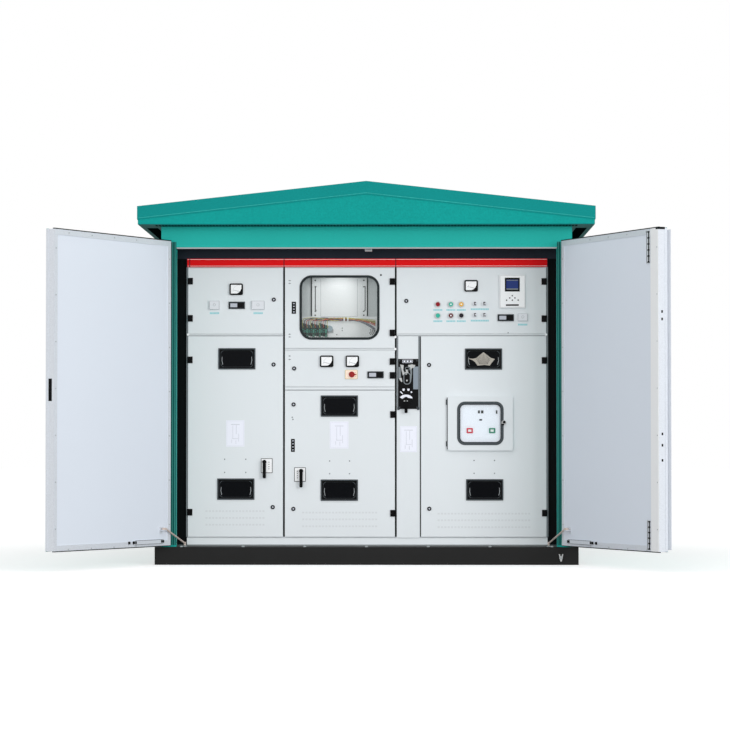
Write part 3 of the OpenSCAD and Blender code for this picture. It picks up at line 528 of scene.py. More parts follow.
# Near-black sheets between the cubicles and the walls: painted shade of the unlit space behind the front
# there.
side_sheets = piece("surround_side_shade_sheets", SURROUND_SIDE_SHADE)
for s in (-1, 1):
    x0, x1 = sorted((CX3 + 6 if s > 0 else CX0 - 5, s * (BX - 12)))
    side_sheets.box((x0, CY - 0.8, BZ + 6), (x1, CY - 0.1, CT))
side_sheets.done()

# Dark strips on the carcass in the gaps between the doors: painted shade in the gaps.

gap_shade = piece("gap_shade_strips", RUBBER_AND_GAP_SHADE)
plinth_top = 149.0
rail_z = box_mm("left_lower_door")[1][2]
mech_x1 = box_mm("mechanism_panel")[1][0]
for x0, x1, z1 in ((CX1 - 4.5, CX1 + 4.5, ST), (CX2 - 4.5, CX2 + 4.5, ST),
                   (mech_x1 + 1, mech_x1 + 6, rail_z)):
    gap_shade.box((x0, CY - 0.5, plinth_top), (x1, CY - 0.1, z1))
gap_shade.done()
trims = piece("side_trims", MID_GREY)
door_x0, door_x1 = box_mm("left_lower_door")[0][0], box_mm("right_lower_door")[1][0]
trims.box((CX0 - 4, DY + 6, plinth_top), (door_x0 - 2, CY - 0.1, ST))
trims.box((door_x1 + 2, DY + 6, plinth_top), (CX3 + 5, CY - 0.1, ST))
trims.done()

# Meters.


def meter(x, z, body=SHELL):
    name = "meter_%d_%d" % (x, z)
    y = DY - 14
    w, h = 30.5, 25
    face = piece(name + "_face", PLAIN_WHITE, body)
    face.prism([(x - w, z - h), (x + w - 27, z - h), (x + w - 15, z - h + 6), (x + w - 6, z - h + 16),
                (x + w, z - h + 29), (x + w, z + h), (x - w, z + h)], y - 0.5, y + 0.2)
    face.done()
    marks = piece(name + "_scale", MID_GREY, body)
    for k in range(13):
        a = math.radians(180 - 7.5 * k)
        c, s = math.cos(a), math.sin(a)
        px, pz = x + w - 12, z - h + 12
        r0, r1 = (34, 39) if k % 3 == 0 else (36, 39)
        n = (-s * 0.45, c * 0.45)
        marks.prism([(px + c * r0 - n[0], pz + s * r0 - n[1]), (px + c * r1 - n[0], pz + s * r1 - n[1]),
                     (px + c * r1 + n[0], pz + s * r1 + n[1]), (px + c * r0 + n[0], pz + s * r0 + n[1])],
                    y - 0.8, y)
    marks.prism([(x + w - 14, z - h + 11), (x - w + 9, z - h + 20), (x - w + 9, z - h + 21.2),
                 (x + w - 12, z - h + 13)], y - 1.0, y)
    marks.done()


up_z0 = box_mm("left_upper_door")[0][2]
mi_z = box_mm("middle_instrument_door")[0][2]
meter(CX0 + 284, up_z0 + 258)
meter(CX1 + 247, mi_z + 147)
meter(CX1 + 395, mi_z + 147)
meter(CX2 + 435, up_z0 + 277)

# Displays: grey bezel, pale screen on the left and dark keys on the right.

bezels = piece("display_bezels", FRAME_GREY)
screens = piece("display_screens", DISPLAY_GREY)
keys = piece("display_keys", INSTRUMENT_BLACK)
for x, z in ((CX0 + 287, up_z0 + 165), (CX1 + 529, mi_z + 69), (CX2 + 634.5, up_z0 + 92.5)):
    bezels.ring(x, z, 94, 40, 5, 3, DY - 9.5, DY - 8, 3)
    screens.front(x - 17, z, 40, 22, DY - 9, DY - 8)
    for k in (0, 1, 2):
        keys.front(x + 14 + k * 10, z, 7, 16, DY - 9.4, DY - 8)
bezels.done()
screens.done()
keys.done()

# Covered devices with plain captions.

covers = piece("device_covers", CLEAR_COVER)
cover_rims = piece("device_rims", MID_GREY)
captions = piece("captions", CAPTION_CYAN)
for x, z, w, h in (
    (CX0 + 158, up_z0 + 165.5, 56, 49),
    (CX0 + 410.5, up_z0 + 165.5, 71, 49),
    (CX2 + 732.5, up_z0 + 95, 55, 42),
):
    covers.front(x, z, w + 2, h + 2, DY - 17, DY - 0.1)
    cover_rims.ring(x, z, w, h, 1.0, 3, DY - 17.6, DY - 16.8, 3)
    cover_rims.ring(x, z + 2, 15, 15, 1.2, 7, DY - 17.6, DY - 16.8, 4)
    for k in (-3, -2, -1, 0, 1, 2, 3):
        captions.front(x + k * 7.8, z - h / 2 - 21, 6.8, 11, DY - 0.4, DY + 0.1)
for x in (CX2 + 243, CX2 + 318, CX2 + 378):
    for z in (up_z0 + 170, up_z0 + 105):
        for k in (-2.5, -1.5, -0.5, 0.5, 1.5, 2.5):
            captions.front(x + k * 8.8, z - 32, 7.4, 10, DY - 0.4, DY + 0.1)
for z in (up_z0 + 142, up_z0 + 76):
    for k in range(11):
        captions.front(CX2 + 437 + k * 9.6, z, 8.2, 10, DY - 0.4, DY + 0.1)
captions.done()
covers.done(1.0)
cover_rims.done()

# Lamps and turning keys on the right upper door.

collars = piece("lamp_collars", BRIGHT_STEEL)
lamp_spots = (
    (243, 170, LAMP_RED), (318, 170, LAMP_GREEN), (378, 170, LAMP_AMBER),
    (243, 105, LAMP_GREEN), (318, 105, LAMP_DARK_RED), (378, 105, LAMP_DARK),
)
for k, (dx, dz, mat) in enumerate(lamp_spots):
    x, z = CX2 + dx, up_z0 + dz
    collars.ring(x, z, 34, 34, 5, 17, DY - 13, DY, 6)
    piece("lamp_%d" % k, mat).disc(x, z, 12.5, DY - 16, DY - 12, 20).done(1.5)
collars.done()
lamp_eyes = piece("lamp_eyes", PLAIN_WHITE)
for dx, dz in ((318, 170), (378, 170), (318, 105)):
    lamp_eyes.disc(CX2 + dx, up_z0 + dz, 4.5, DY - 16.6, DY - 15.8, 12)
lamp_eyes.done()
links = piece("key_marks", LOCK_RING)
caps = piece("key_caps", CLEAR_COVER)
for dx in (457, 511):
    for dz in (109, 174):
        x, z = CX2 + dx, up_z0 + dz
        caps.disc(x, z, 13, DY - 15, DY - 0.1, 20)
        links.front(x, z + 7, 12, 5, DY - 17, DY - 14)
        links.front(x - 3, z - 3, 4, 14, DY - 19, DY - 14)
        links.front(x + 4, z - 6, 4, 9, DY - 17, DY - 14)
links.done(0.8)
caps.done(1.0)

# Relay.

rx, rz = CX2 + 673, up_z0 + 244
relay = piece("relay_front", PLAIN_WHITE)
relay.front(rx, rz, 148, 190, DY - 22, DY - 0.1)
relay.done(1.0)
relay_rim = piece("relay_rim", SEAM_GREY_AND_GLEAM)
relay_rim.ring(rx, rz, 142, 184, 1.4, 2, DY - 22.4, DY - 21.8, 2)
relay_rim.done()
relay_black = piece("relay_black", INSTRUMENT_BLACK)
relay_black.front(rx - 1, rz + 39, 86, 80, DY - 23, DY - 22)
for dx, dz in ((-1, -25), (-16, -38), (14, -38), (-34, -51), (-1, -51), (33, -51)):
    relay_black.front(rx + dx, rz + dz, 7, 7, DY - 24, DY - 22)
relay_black.front(rx - 1, rz - 79, 74, 9, DY - 23, DY - 22)
relay_black.done(0.6)
relay_screen = piece("relay_screen", RELAY_BLUE)
relay_screen.front(rx - 1, rz + 39, 68, 58, DY - 23.6, DY - 22.8)
relay_screen.done()
relay_bar = piece("relay_screen_bar", MID_GREY)
relay_bar.front(rx - 1, rz + 13, 66, 7, DY - 23.7, DY - 22.8)
relay_bar.front(rx - 1, rz + 64, 66, 4, DY - 23.7, DY - 22.8)
relay_bar.done()

# Locks, fixed hinges, pins, seams and marks on the fixed doors.

locks = piece("fixed_locks", LOCK_RING)
slots = piece("lock_slots", DISPLAY_GREY)
for x, z in ((CX0 + 501, up_z0 + 198), (CX1 + 59, mi_z + 106), (CX2 + 61, up_z0 + 190)):
    locks.disc(x, z, 12, DY - 6, DY, 20)
    slots.disc(x, z, 5, DY - 6.6, DY - 5.8, 12)
locks.done(0.8)
slots.done()

fixed_hinges = piece("fixed_hinges", FITTING)
for x, z in ((CX0 + 18, 1625), (CX0 + 18, 1410), (CX2 - 20, 1622), (CX2 - 20, 1325), (CX2 - 20, 1160),
             (CX2 - 20, 1080), (CX3 - 18, 1622), (CX3 - 18, 1407)):
    fixed_hinges.front(x, z, 30, 38, DY - 12, DY)
fixed_hinges.done(1.5)

pins = piece("white_pins", PLAIN_WHITE)
for x, z in ((CX0 + 6, 1316), (CX3 - 7, 1315), (CX2 - 3, 1302), (CX2 - 3, 1232)):
    pins.disc(x, z, 7, DY - 4, CY, 12)
pins.done(1.0)

marks = piece("black_strips", FITTING)
marks.front(CX1 + 57, 1471, 25, 70, DY - 1.0, DY)
marks.done(0.4)
strip_print = piece("strip_print", DISPLAY_GREY)
for dz in (-24, -8, 8, 24):
    strip_print.front(CX1 + 57, 1471 + dz, 9, 6, DY - 1.4, DY - 0.9)
strip_print.done()
small = piece("small_screws", MID_GREY)
for z in (1628, 1612, 1318, 1302, 1192, 1172):
    small.disc(-447, z, 3.5, DY - 1.5, DY + 0.2, 8)
    small.front(-447, z, 15, 2.4, DY - 0.5, DY + 0.1)
small.disc(CX2 + 648, 1326, 3.5, DY - 1.5, DY + 0.2, 8)
small.done()
button = piece("door_button", FITTING)
button.disc(80, 1660, 5.5, DY - 2, DY + 0.2, 12)
button.done()

# Behind the large window: fold lines, screws, terminal rows and the wire bundle.

PLATE_Y = CY + 170
wx, wz = CX1 + 321, box_mm("middle_window_pane")[0][2] + 180.5
folds = piece("wiring_folds", SEAM_GREY_AND_GLEAM)
for x in (-114, 100):
    folds.box((wx + x - 1, PLATE_Y - 0.4, wz - 44), (wx + x + 1, PLATE_Y + 0.2, wz + 175))
folds.box((wx - 114, PLATE_Y - 0.4, wz - 45), (wx + 100, PLATE_Y + 0.2, wz - 43))
folds.done()
patches = piece("wiring_slot_covers", INNER_PAINT)
for x0, x1 in ((-154, -138), (136, 152)):
    patches.box((wx + x0, PLATE_Y - 0.6, wz - 30), (wx + x1, PLATE_Y - 0.1, wz + 142))
patches.done()
bands = piece("wiring_side_sheets", SIDE_SHADE)
for x0, x1 in ((-225, -170), (162, 222)):
    bands.box((wx + x0, PLATE_Y - 1.4, wz - 44), (wx + x1, PLATE_Y - 0.1, wz + 186))
bands.done()
sides = piece("wiring_side_posts", FITTING)
for x in (-168, 159):
    sides.box((wx + x - 3.5, PLATE_Y - 9, wz - 42), (wx + x + 3.5, PLATE_Y - 0.1, wz + 186))
for x in (-150, 142):
    toward = 1 if x < 0 else -1
    for z in (-14, 130):
        x0, x1 = sorted((x, x + toward * 9))
        sides.box((wx + x0, PLATE_Y - 1.6, wz + z - 2.5), (wx + x1, PLATE_Y - 0.1, wz + z + 2.5))
    for z in (-36, 168):
        sides.disc(wx + x + toward * 4, wz + z, 4.5, PLATE_Y - 3, PLATE_Y, 8)
for toward in (-1, 1):
    for near, far, z0, z1 in ((143, 148, -10, 134), (138, 143, 130, 134), (138, 143, -10, -6)):
        x0, x1 = sorted((toward * near, toward * far))
        sides.box((wx + x0, PLATE_Y - 1.6, wz + z0), (wx + x1, PLATE_Y - 0.5, wz + z1))
for x, z in ((12, -112), (12, -126), (-20, -150)):
    sides.disc(wx + x, wz + z, 3, PLATE_Y - 3, PLATE_Y, 8)
sides.done()
rows = piece("terminal_rows", TERMINAL_GREEN)
posts = piece("terminal_posts", FITTING)
dark_rows = piece("terminal_dark_rows", TERMINAL_BLACK)
pale_rows = piece("terminal_pale_rows", TERMINAL_PALE)
ends = piece("terminal_ends", PLAIN_WHITE)
tips = piece("terminal_tips", LAMP_GREEN)
for k in range(12):
    x = wx - 221 + k * 12.2
    top = -84 - (k * 5) % 4 * 4
    row = (rows, dark_rows, pale_rows)[(k * 7) % 3]
    row.box((x, PLATE_Y - 52, wz - 158 - k % 3 * 3), (x + 10.8, PLATE_Y - 8, wz + top))
    posts.disc(x + 5.4, wz - 109 - (k % 3) * 3, 4.4, PLATE_Y - 56, PLATE_Y - 50, 8)
    posts.disc(x + 5.4, wz - 147, 4.4, PLATE_Y - 56, PLATE_Y - 50, 8)
    tips.disc(x + 5.4, wz - 122 - (k % 2) * 6, 2.6, PLATE_Y - 56, PLATE_Y - 50, 8)
    tips.box((x + 1, PLATE_Y - 53, wz - 137), (x + 7, PLATE_Y - 51, wz - 134))
    posts.box((x + 10.8, PLATE_Y - 53, wz - 158), (x + 12.2, PLATE_Y - 8, wz + top))
    ends.box((x + 2, PLATE_Y - 54, wz - 170), (x + 8, PLATE_Y - 44, wz - 159 - k % 3 * 3))
rows.done(0.8)
dark_rows.done(0.8)
pale_rows.done(0.8)
tips.done()
posts.done()
ends.done()
pot = piece("wiring_round_cover", BLUE_GREY)
pot.disc(wx - 62, wz - 115, 18, PLATE_Y - 30, PLATE_Y, 20)
pot.done(1.5)
rail = piece("terminal_rail", ZINC)
rail.box((wx - 215, PLATE_Y - 10, wz - 140), (wx - 40, PLATE_Y, wz - 118))
rail.done()


def wire(batch, k, spread):
    """One wire: up from its terminal, along the bundle and out to the right."""
    x = wx - 214 + k * 12
    y = PLATE_Y - 58
    top = wz - 58 - (k % 3) * 5
    a = [(x, y + 4, wz - 112), (x - 5, y - 4, wz - 92), (x - 4, y - 6, wz - 72), (x + 4, y - 6, top),
         (x + 22, y - 4, top + 3)]
    for j in range(1, 8):
        t = j / 8
        a.append((x + 22 + (wx + 38 - x) * t, y - 3 + 5 * math.sin(k + 7 * t),
                  top + 3 + 4 * math.sin(1.7 * k + 9 * t) - 10 * t * (1 - t)))
    for j in range(1, 6):
        t = j / 5
        a.append((wx + 60 + 146 * t, y + 2, top + (spread - top + wz - 62) * t * t))
    batch.rod(a, 1.8, 6)


bundle = {"yellow": WIRE_YELLOW, "brown": WIRE_BROWN, "red": WIRE_RED, "grey": WIRE_GREY}
for j, (word, mat) in enumerate(bundle.items()):
    b = piece("wires_" + word, mat)
    for k in range(j, 13, 4):
        wire(b, k, (-6, -16, -26, -56)[j] - 6 * (k // 4))
    b.done()
loom = piece("loom_ends", FITTING)
for k in range(4):
    x = wx + 176 + k * 11
    loom.rod([(x, PLATE_Y - 30, wz - 118 - k * 4), (x + 5, PLATE_Y - 34, wz - 130),
              (x - 4, PLATE_Y - 30, wz - 141), (x + 3, PLATE_Y - 28, wz - 152)], 1.8, 6)
loom.done()
ties = piece("wire_ties", PLAIN_WHITE)
for x in (24, 46):
    ties.box((wx + x - 3, PLATE_Y - 68, wz - 76), (wx + x + 3, PLATE_Y - 50, wz - 52))
ties.done(1.0)

# Selector plate.

sel_x, sel_z = CX1 + 389, mi_z + 71.2
plate = piece("selector_plate", SELECTOR_PEACH)
plate.front(sel_x, sel_z, 68, 49, DY - 4.35, DY - 3.9)
plate.done()
rim = piece("selector_rim", SELECTOR_OLIVE)
rim.ring(sel_x, sel_z, 72, 53, 2, 4, DY - 4.4, DY - 3.9, 3)
rim.done()

pointer = piece("selector_pointer", KNOB_RED, "selector_knob")
pointer.front(sel_x + 22, sel_z, 14, 5, DY - 14, DY - 8)
pointer.done(0.8)
ticks = piece("selector_ticks", SELECTOR_OLIVE)
for a in (-32, 0, 32):
    across, up = math.cos(math.radians(a)), math.sin(math.radians(a))
    ticks.disc(sel_x + 29 * across, sel_z + 29 * up * 0.7, 2, DY - 4.7, DY - 4.3, 8)
ticks.done()

# Operating mechanism: links, scale and marks on its black cover.

mz = box_mm("mechanism_plate")[0][2]
rails = piece("mechanism_rails", MID_GREY)
for x in (CX2 + 10, CX2 + 134):
    rails.box((x - 4, DY - 3, mz - 4), (x + 4, DY, mz + 420))
rails.done(0.6)
y0, y1 = DY - 13, DY - 9
lx, lz = CX2 + 68, mz + 276
link = piece("mechanism_links", BRIGHT_STEEL)
for pts in (
    [(-44, -19), (-22, -23), (-25, -51), (-16, -70), (-27, -84), (-33, -63), (-37, -40)],
    [(-18, -66), (-3, -57), (6, -63), (-9, -81)],
    [(3, -23), (26, -19), (45, -23), (39, -37), (26, -40), (18, -51), (15, -35), (3, -32)],
    [(-50, -98), (-34, -97), (-30, -119), (-37, -121)],
):
    link.prism([(lx + u, lz + v) for u, v in pts], y0, y1)
for u, v, r in ((-5, -54, 6), (-28, -60, 5), (-4, -112, 5), (38, -28, 4)):
    link.disc(lx + u, lz + v, r, DY - 16, DY - 9, 14)
link.done(0.6)
lever = piece("mechanism_levers", MID_GREY)
for pts in (
    [(-53, -33), (-39, -35), (-38, -92), (-45, -113), (-53, -98)],
    [(10, -35), (24, -35), (26, -69), (20, -121), (12, -121), (17, -69)],
):
    lever.prism([(lx + u, lz + v) for u, v in pts], y0 + 1, y1)
lever.ring(lx - 3, lz - 101, 42, 68, 5, 18, y0, y1, 8)
lever.ring(lx - 2, lz - 44, 26, 20, 3, 8, y0, y1, 6)
lever.done(0.6)
tag = piece("mechanism_tags", LABEL_WHITE)
tag.ring(lx, lz - 1, 60, 18, 2, 2, DY - 5.6, DY - 4.9, 2)
for u in (-18, 0, 18):
    tag.front(lx + u, lz - 1, 11, 9, DY - 5.6, DY - 4.9)
for x in (211, 239):
    tag.ring(x, 1002, 13, 24, 6.4, 6.4, DY - 6.4, DY - 5, 6)
tag.prism([(190, 984), (208, 968), (211, 971), (194, 989)], DY - 5.8, DY - 4.9)
tag.disc(256, 983, 5, DY - 5.8, DY - 4.9, 12)
tag.done()
dial = piece("mechanism_dial", LABEL_WHITE)
cx, cz = CX2 + 59, mz + 58
arc = [(cx + 38 * math.cos(math.radians(a)), cz + 25 * math.sin(math.radians(a)))
       for a in range(6, 165, 8)]
dial.prism([(cx + 12, cz + 6), (cx - 10, cz + 8), (cx - 22, cz)] + arc[::-1], DY - 11.6, DY - 10.9)
dial.done()
hub_y = box_mm("mechanism_handle")[0][1]
hub = piece("mechanism_hub_glints", BRIGHT_STEEL, "mechanism_handle")
hub.front(cx - 9, cz - 12, 9, 5, hub_y - 0.6, hub_y + 0.3)
hub.front(cx + 7, cz - 12, 7, 5, hub_y - 0.6, hub_y + 0.3)
hub.done(0.4)
blue = piece("mechanism_strip", STRIP_BLUE)
blue.front(CX2 + 115, mz + 179, 29, 131, DY - 9.8, DY - 8.9)
blue.done(0.5)
bolt = piece("mechanism_bolts", FRAME_GREY)
for x in (CX2 + 22, CX2 + 122):
    for z in (mz + 10, mz + 279):
        bolt.rod([(x, DY - 9, z), (x, DY - 5, z)], 5, 6)
bolt.done(0.4)
latch = piece("mechanism_latches", FRAME_GREY)
for x in (CX2 + 16, CX2 + 128):
    latch.front(x, mz + 2, 12, 16, DY - 10, DY - 5)
latch.done(1.0)

# Plain paper labels.

LABELS = (
    ("left_lower_door", -761, 745, 105, 152),
    ("middle_lower_door", -161, 736, 108, 156),
    (SHELL, 240, 712, 98, 150),
)
for k, (body, x, z, w, h) in enumerate(LABELS):
    p = piece("label_%d" % k, LABEL_WHITE, body)
    p.front(x, z, w, h, DY - 0.4, DY + 0.1)
    p.done()
    q = piece("label_lines_%d" % k, FAINT_PRINT, body)
    q.ring(x, z, w - 8, h - 8, 0.9, 2, DY - 0.6, DY - 0.3, 2)
    for dx, dz, a, b in ((-14, 8, 2, h * 0.5), (6, 22, 2, h * 0.35), (20, -24, 2, h * 0.3),
                         (0, -30, 34, 2), (0, 52, 50, 3), (-20, -46, 2, 20), (4, -50, 2, 22)):
        q.front(x + dx, z + dz, a, b, DY - 0.6, DY - 0.3)
    q.done()


# Opening cubicle doors: window rims, slots, screws, handle plates.


def window(body, x, z, name):
    """Rounded inner bead and pale reflections at the ends of a viewing window."""
    r = piece(name + "_frame", BEAD_GREY, body)
    r.ring(x, z, 215, 123, 7, 10, DY - 7.4, DY - 5.9, 4)
    r.ring(x, z, 190, 98, 3, 24, DY - 4.5, DY - 0.2, 8)
    r.done(0.8)
    g = piece(name + "_gleam", SEAM_GREY_AND_GLEAM, body)
    for s in (-1, 1):
        g.prism([(x + s * 80, z - 34), (x + s * 83, z - 33), (x + s * 88, z - 10), (x + s * 86, z + 12),
                 (x + s * 84, z + 12), (x + s * 85, z - 10)], DY - 1.0, DY - 0.5)
    g.done()


def vent_rows(body, x0, x1, zs, name):
    v = piece(name, SLOT_SHADE, body)
    n = int((x1 - x0) / 19)
    for z in zs:
        for k in range(n):
            x = x0 + (k + 0.5) * (x1 - x0) / n
            v.front(x, z, 12, 9, DY - 0.3, DY + 0.1)
    v.done()
    # A darker line over each slot: painted shade under the slot's upper lip.
    d = piece(name + "_lips", SLOT_LIP_SHADE, body)
    for z in zs:
        for k in range(n):
            x = x0 + (k + 0.5) * (x1 - x0) / n
            d.front(x, z + 4.2, 12, 1.1, DY - 0.5, DY + 0.1)
    d.done()


def door_screws(body, spots, name):
    s = piece(name, MID_GREY, body)
    for x, z in spots:
        s.disc(x, z, 4, DY - 2, DY + 0.2, 8)
    s.done()


def handle_plate(body, x0, x1, z0, z1, name):
    p = piece(name, PLAIN_WHITE, body)
    p.box((x0 + 3, DY - 4.3, z0 + 3), (x1 - 3, DY - 3.9, z1 - 3))
    p.done()


window("left_lower_door", CX0 + 288, 1176, "left_window_1")
window("left_lower_door", CX0 + 283, 424, "left_window_2")
window("middle_lower_door", CX1 + 320, 903, "middle_window_1")
window("middle_lower_door", CX1 + 320, 418, "middle_window_2")
window("right_lower_door", CX2 + 506, 1174, "right_window_1")
window("right_lower_door", CX2 + 512, 420, "right_window_2")
vent_rows("left_lower_door", -936, -588, (296, 257, 218), "left_slots")
vent_rows("middle_lower_door", -378, 62, (288, 249, 209), "middle_slots")
vent_rows("right_lower_door", 403, 944, (282, 244, 204), "right_slots")
door_screws("left_lower_door", ((-822, 596), (-700, 596), (-822, 520), (-700, 520)), "left_screws")
door_screws(
    "middle_lower_door",
    ((-216, 586), (-101, 586), (-216, 513), (-101, 513), (-432, 838), (-428, 826)),
    "middle_screws",
)
door_screws("right_lower_door", ((617, 589), (735, 589), (617, 515), (735, 515)), "right_screws")


def pivot(handle):
    """Middle and height of a handle's pivot."""
    lo, hi = box_mm(handle)
    return (lo[0] + hi[0]) / 2, hi[2] - 12


left_x, left_z = pivot("left_door_handle")
mid_x, mid_z = pivot("middle_door_handle")
handle_plate("left_lower_door", left_x - 20, left_x + 46, left_z - 64, left_z + 20, "left_handle_face")
handle_plate("middle_lower_door", mid_x - 40, mid_x + 26, mid_z - 62, mid_z + 20, "middle_handle_face")
for body, x, z in (("left_lower_door", left_x + 26, left_z - 14),
                   ("middle_lower_door", mid_x - 22, mid_z - 14)):
    q = piece(body + "_plate_marks", MID_GREY, body)
    for dz in (12, 0, -14, -26):
        q.disc(x, z + dz, 3.2, DY - 4.6, DY - 4.2, 10)
    q.done()
door_strip = piece("middle_strip", FITTING, "middle_lower_door")
door_strip.front(-428, 676, 22, 75, DY - 1.0, DY)
door_strip.done()
door_strip_print = piece("middle_strip_print", DISPLAY_GREY, "middle_lower_door")
for dz in (-26, -9, 9, 26):
    door_strip_print.front(-428, 676 + dz, 8, 6, DY - 1.4, DY - 0.9)
door_strip_print.done()
for body, spots in (
    ("left_lower_door", ((CX1 - 60, 1143), (CX1 - 64, 320))),
    ("middle_lower_door", ((CX1 + 56, 912), (CX1 + 55, 310))),
    ("right_lower_door", ((CX2 + 192, 1140), (CX2 + 193, 311))),
):
    q = piece(body + "_lock_cores", DISPLAY_GREY, body)
    for x, z in spots:
        q.disc(x, z, 5, DY - 5.6, DY - 4.8, 12)
    q.done()

# Insulator behind the upper right window.

insulator = piece("insulator_fan", INSULATOR, "right_lower_door")
fan_x, fan_z = CX2 + 506, 1174
fan = [(-92, 4), (-60, 2), (-42, 6), (-20, 24), (0, 40), (20, 24), (44, 6), (66, 0), (52, -16),
       (36, -38), (6, -34), (-34, -38), (-48, -18), (-64, -6)]
insulator.prism([(fan_x + a, fan_z + b) for a, b in fan], DY - 1.6, DY - 0.4)
insulator.done(0.5)
grooves = piece("insulator_grooves", FRAME_GREY, "right_lower_door")
for k in range(-6, 7):
    lean = math.sin(math.radians(k * 11))
    x0, z0 = fan_x + 24 * lean, fan_z - 30
    x1, z1 = fan_x + 45 * lean, fan_z + 30 - abs(k) * 4.6
    grooves.prism([(x0 - 0.8, z0), (x0 + 0.8, z0), (x1 + 0.8, z1), (x1 - 0.8, z1)],
                  DY - 2.0, DY - 1.5)
grooves.done()

# Window box on the right lower door.

box_lo, box_hi = box_mm("window_box")
bx, bz = (box_lo[0] + box_hi[0]) / 2, (box_lo[2] + box_hi[2]) / 2
by = box_lo[1]
seal = piece("box_seal", BEAD_GREY, "right_lower_door")
seal.ring(bx, bz + 1, 268, 251, 15, 46, by - 4, by + 1, 10)
seal.done(1.5)
lip = piece("box_seal_lip", RUBBER_AND_GAP_SHADE, "right_lower_door")
lip.ring(bx, bz + 1, 240, 223, 4, 32, by - 3, by + 6, 10)
lip.done(0.6)
panel = piece("box_panel", LABEL_WHITE, "right_lower_door")
panel.front(bx, bz + 1, 240, 224, by + 12, by + 14)
panel.done()
for word, mat, dx in (("box_red", BUTTON_RED, -61), ("box_green", BUTTON_GREEN, 68)):
    q = piece(word, mat, "right_lower_door")
    q.ring(bx + dx, bz - 41, 36, 30, 8, 3, by + 6, by + 12, 3)
    q.done(0.6)
    cap = piece(word + "_cap", PLAIN_WHITE, "right_lower_door")
    cap.front(bx + dx, bz - 41, 18, 13, by + 7, by + 12)
    cap.done(0.6)
box_marks = piece("box_marks", INSTRUMENT_BLACK, "right_lower_door")
for dx, dz, w, h in ((-8, 67, 12, 17), (11, 67, 14, 17), (2, 21, 16, 9)):
    box_marks.front(bx + dx, bz + dz, w, h, by + 11, by + 12.2)
box_marks.front(bx + 94, bz + 66, 8, 20, by + 8, by + 12.2)
box_marks.done()
knob_ring = piece("box_knob_ring", BRIGHT_STEEL, "right_lower_door")
knob_ring.disc(788, 806, 14, by - 8, by, 20)
knob_ring.done(1.5)
box_knob = piece("box_knob", FITTING, "right_lower_door")
box_knob.disc(790, 810, 8, by - 20, by - 8, 16)
box_knob.front(782, 796, 14, 8, by - 18, by - 8)
box_hinges = piece("box_hinges", FRAME_GREY, "right_lower_door")
for z in (925, 685):
    box_hinges.rod([(box_lo[0] - 4, DY - 6, z - 15), (box_lo[0] - 4, DY - 6, z + 15)], 6, 10)
box_hinges.rod([(box_lo[0] - 2, DY - 3, box_lo[2] + 8), (box_lo[0] - 2, DY - 3, box_hi[2] - 8)], 2.4, 8)
box_hinges.done()
box_knob.done(1.0)
box_glass = piece("box_glass", CLEAR_PANE, "right_lower_door")
box_glass.front(bx, bz + 1, 250, 233, by + 1.2, by + 3.4)
box_glass.done()

# Front leaves: gaskets, flush bolts, lock rods, screws and the stay channel.


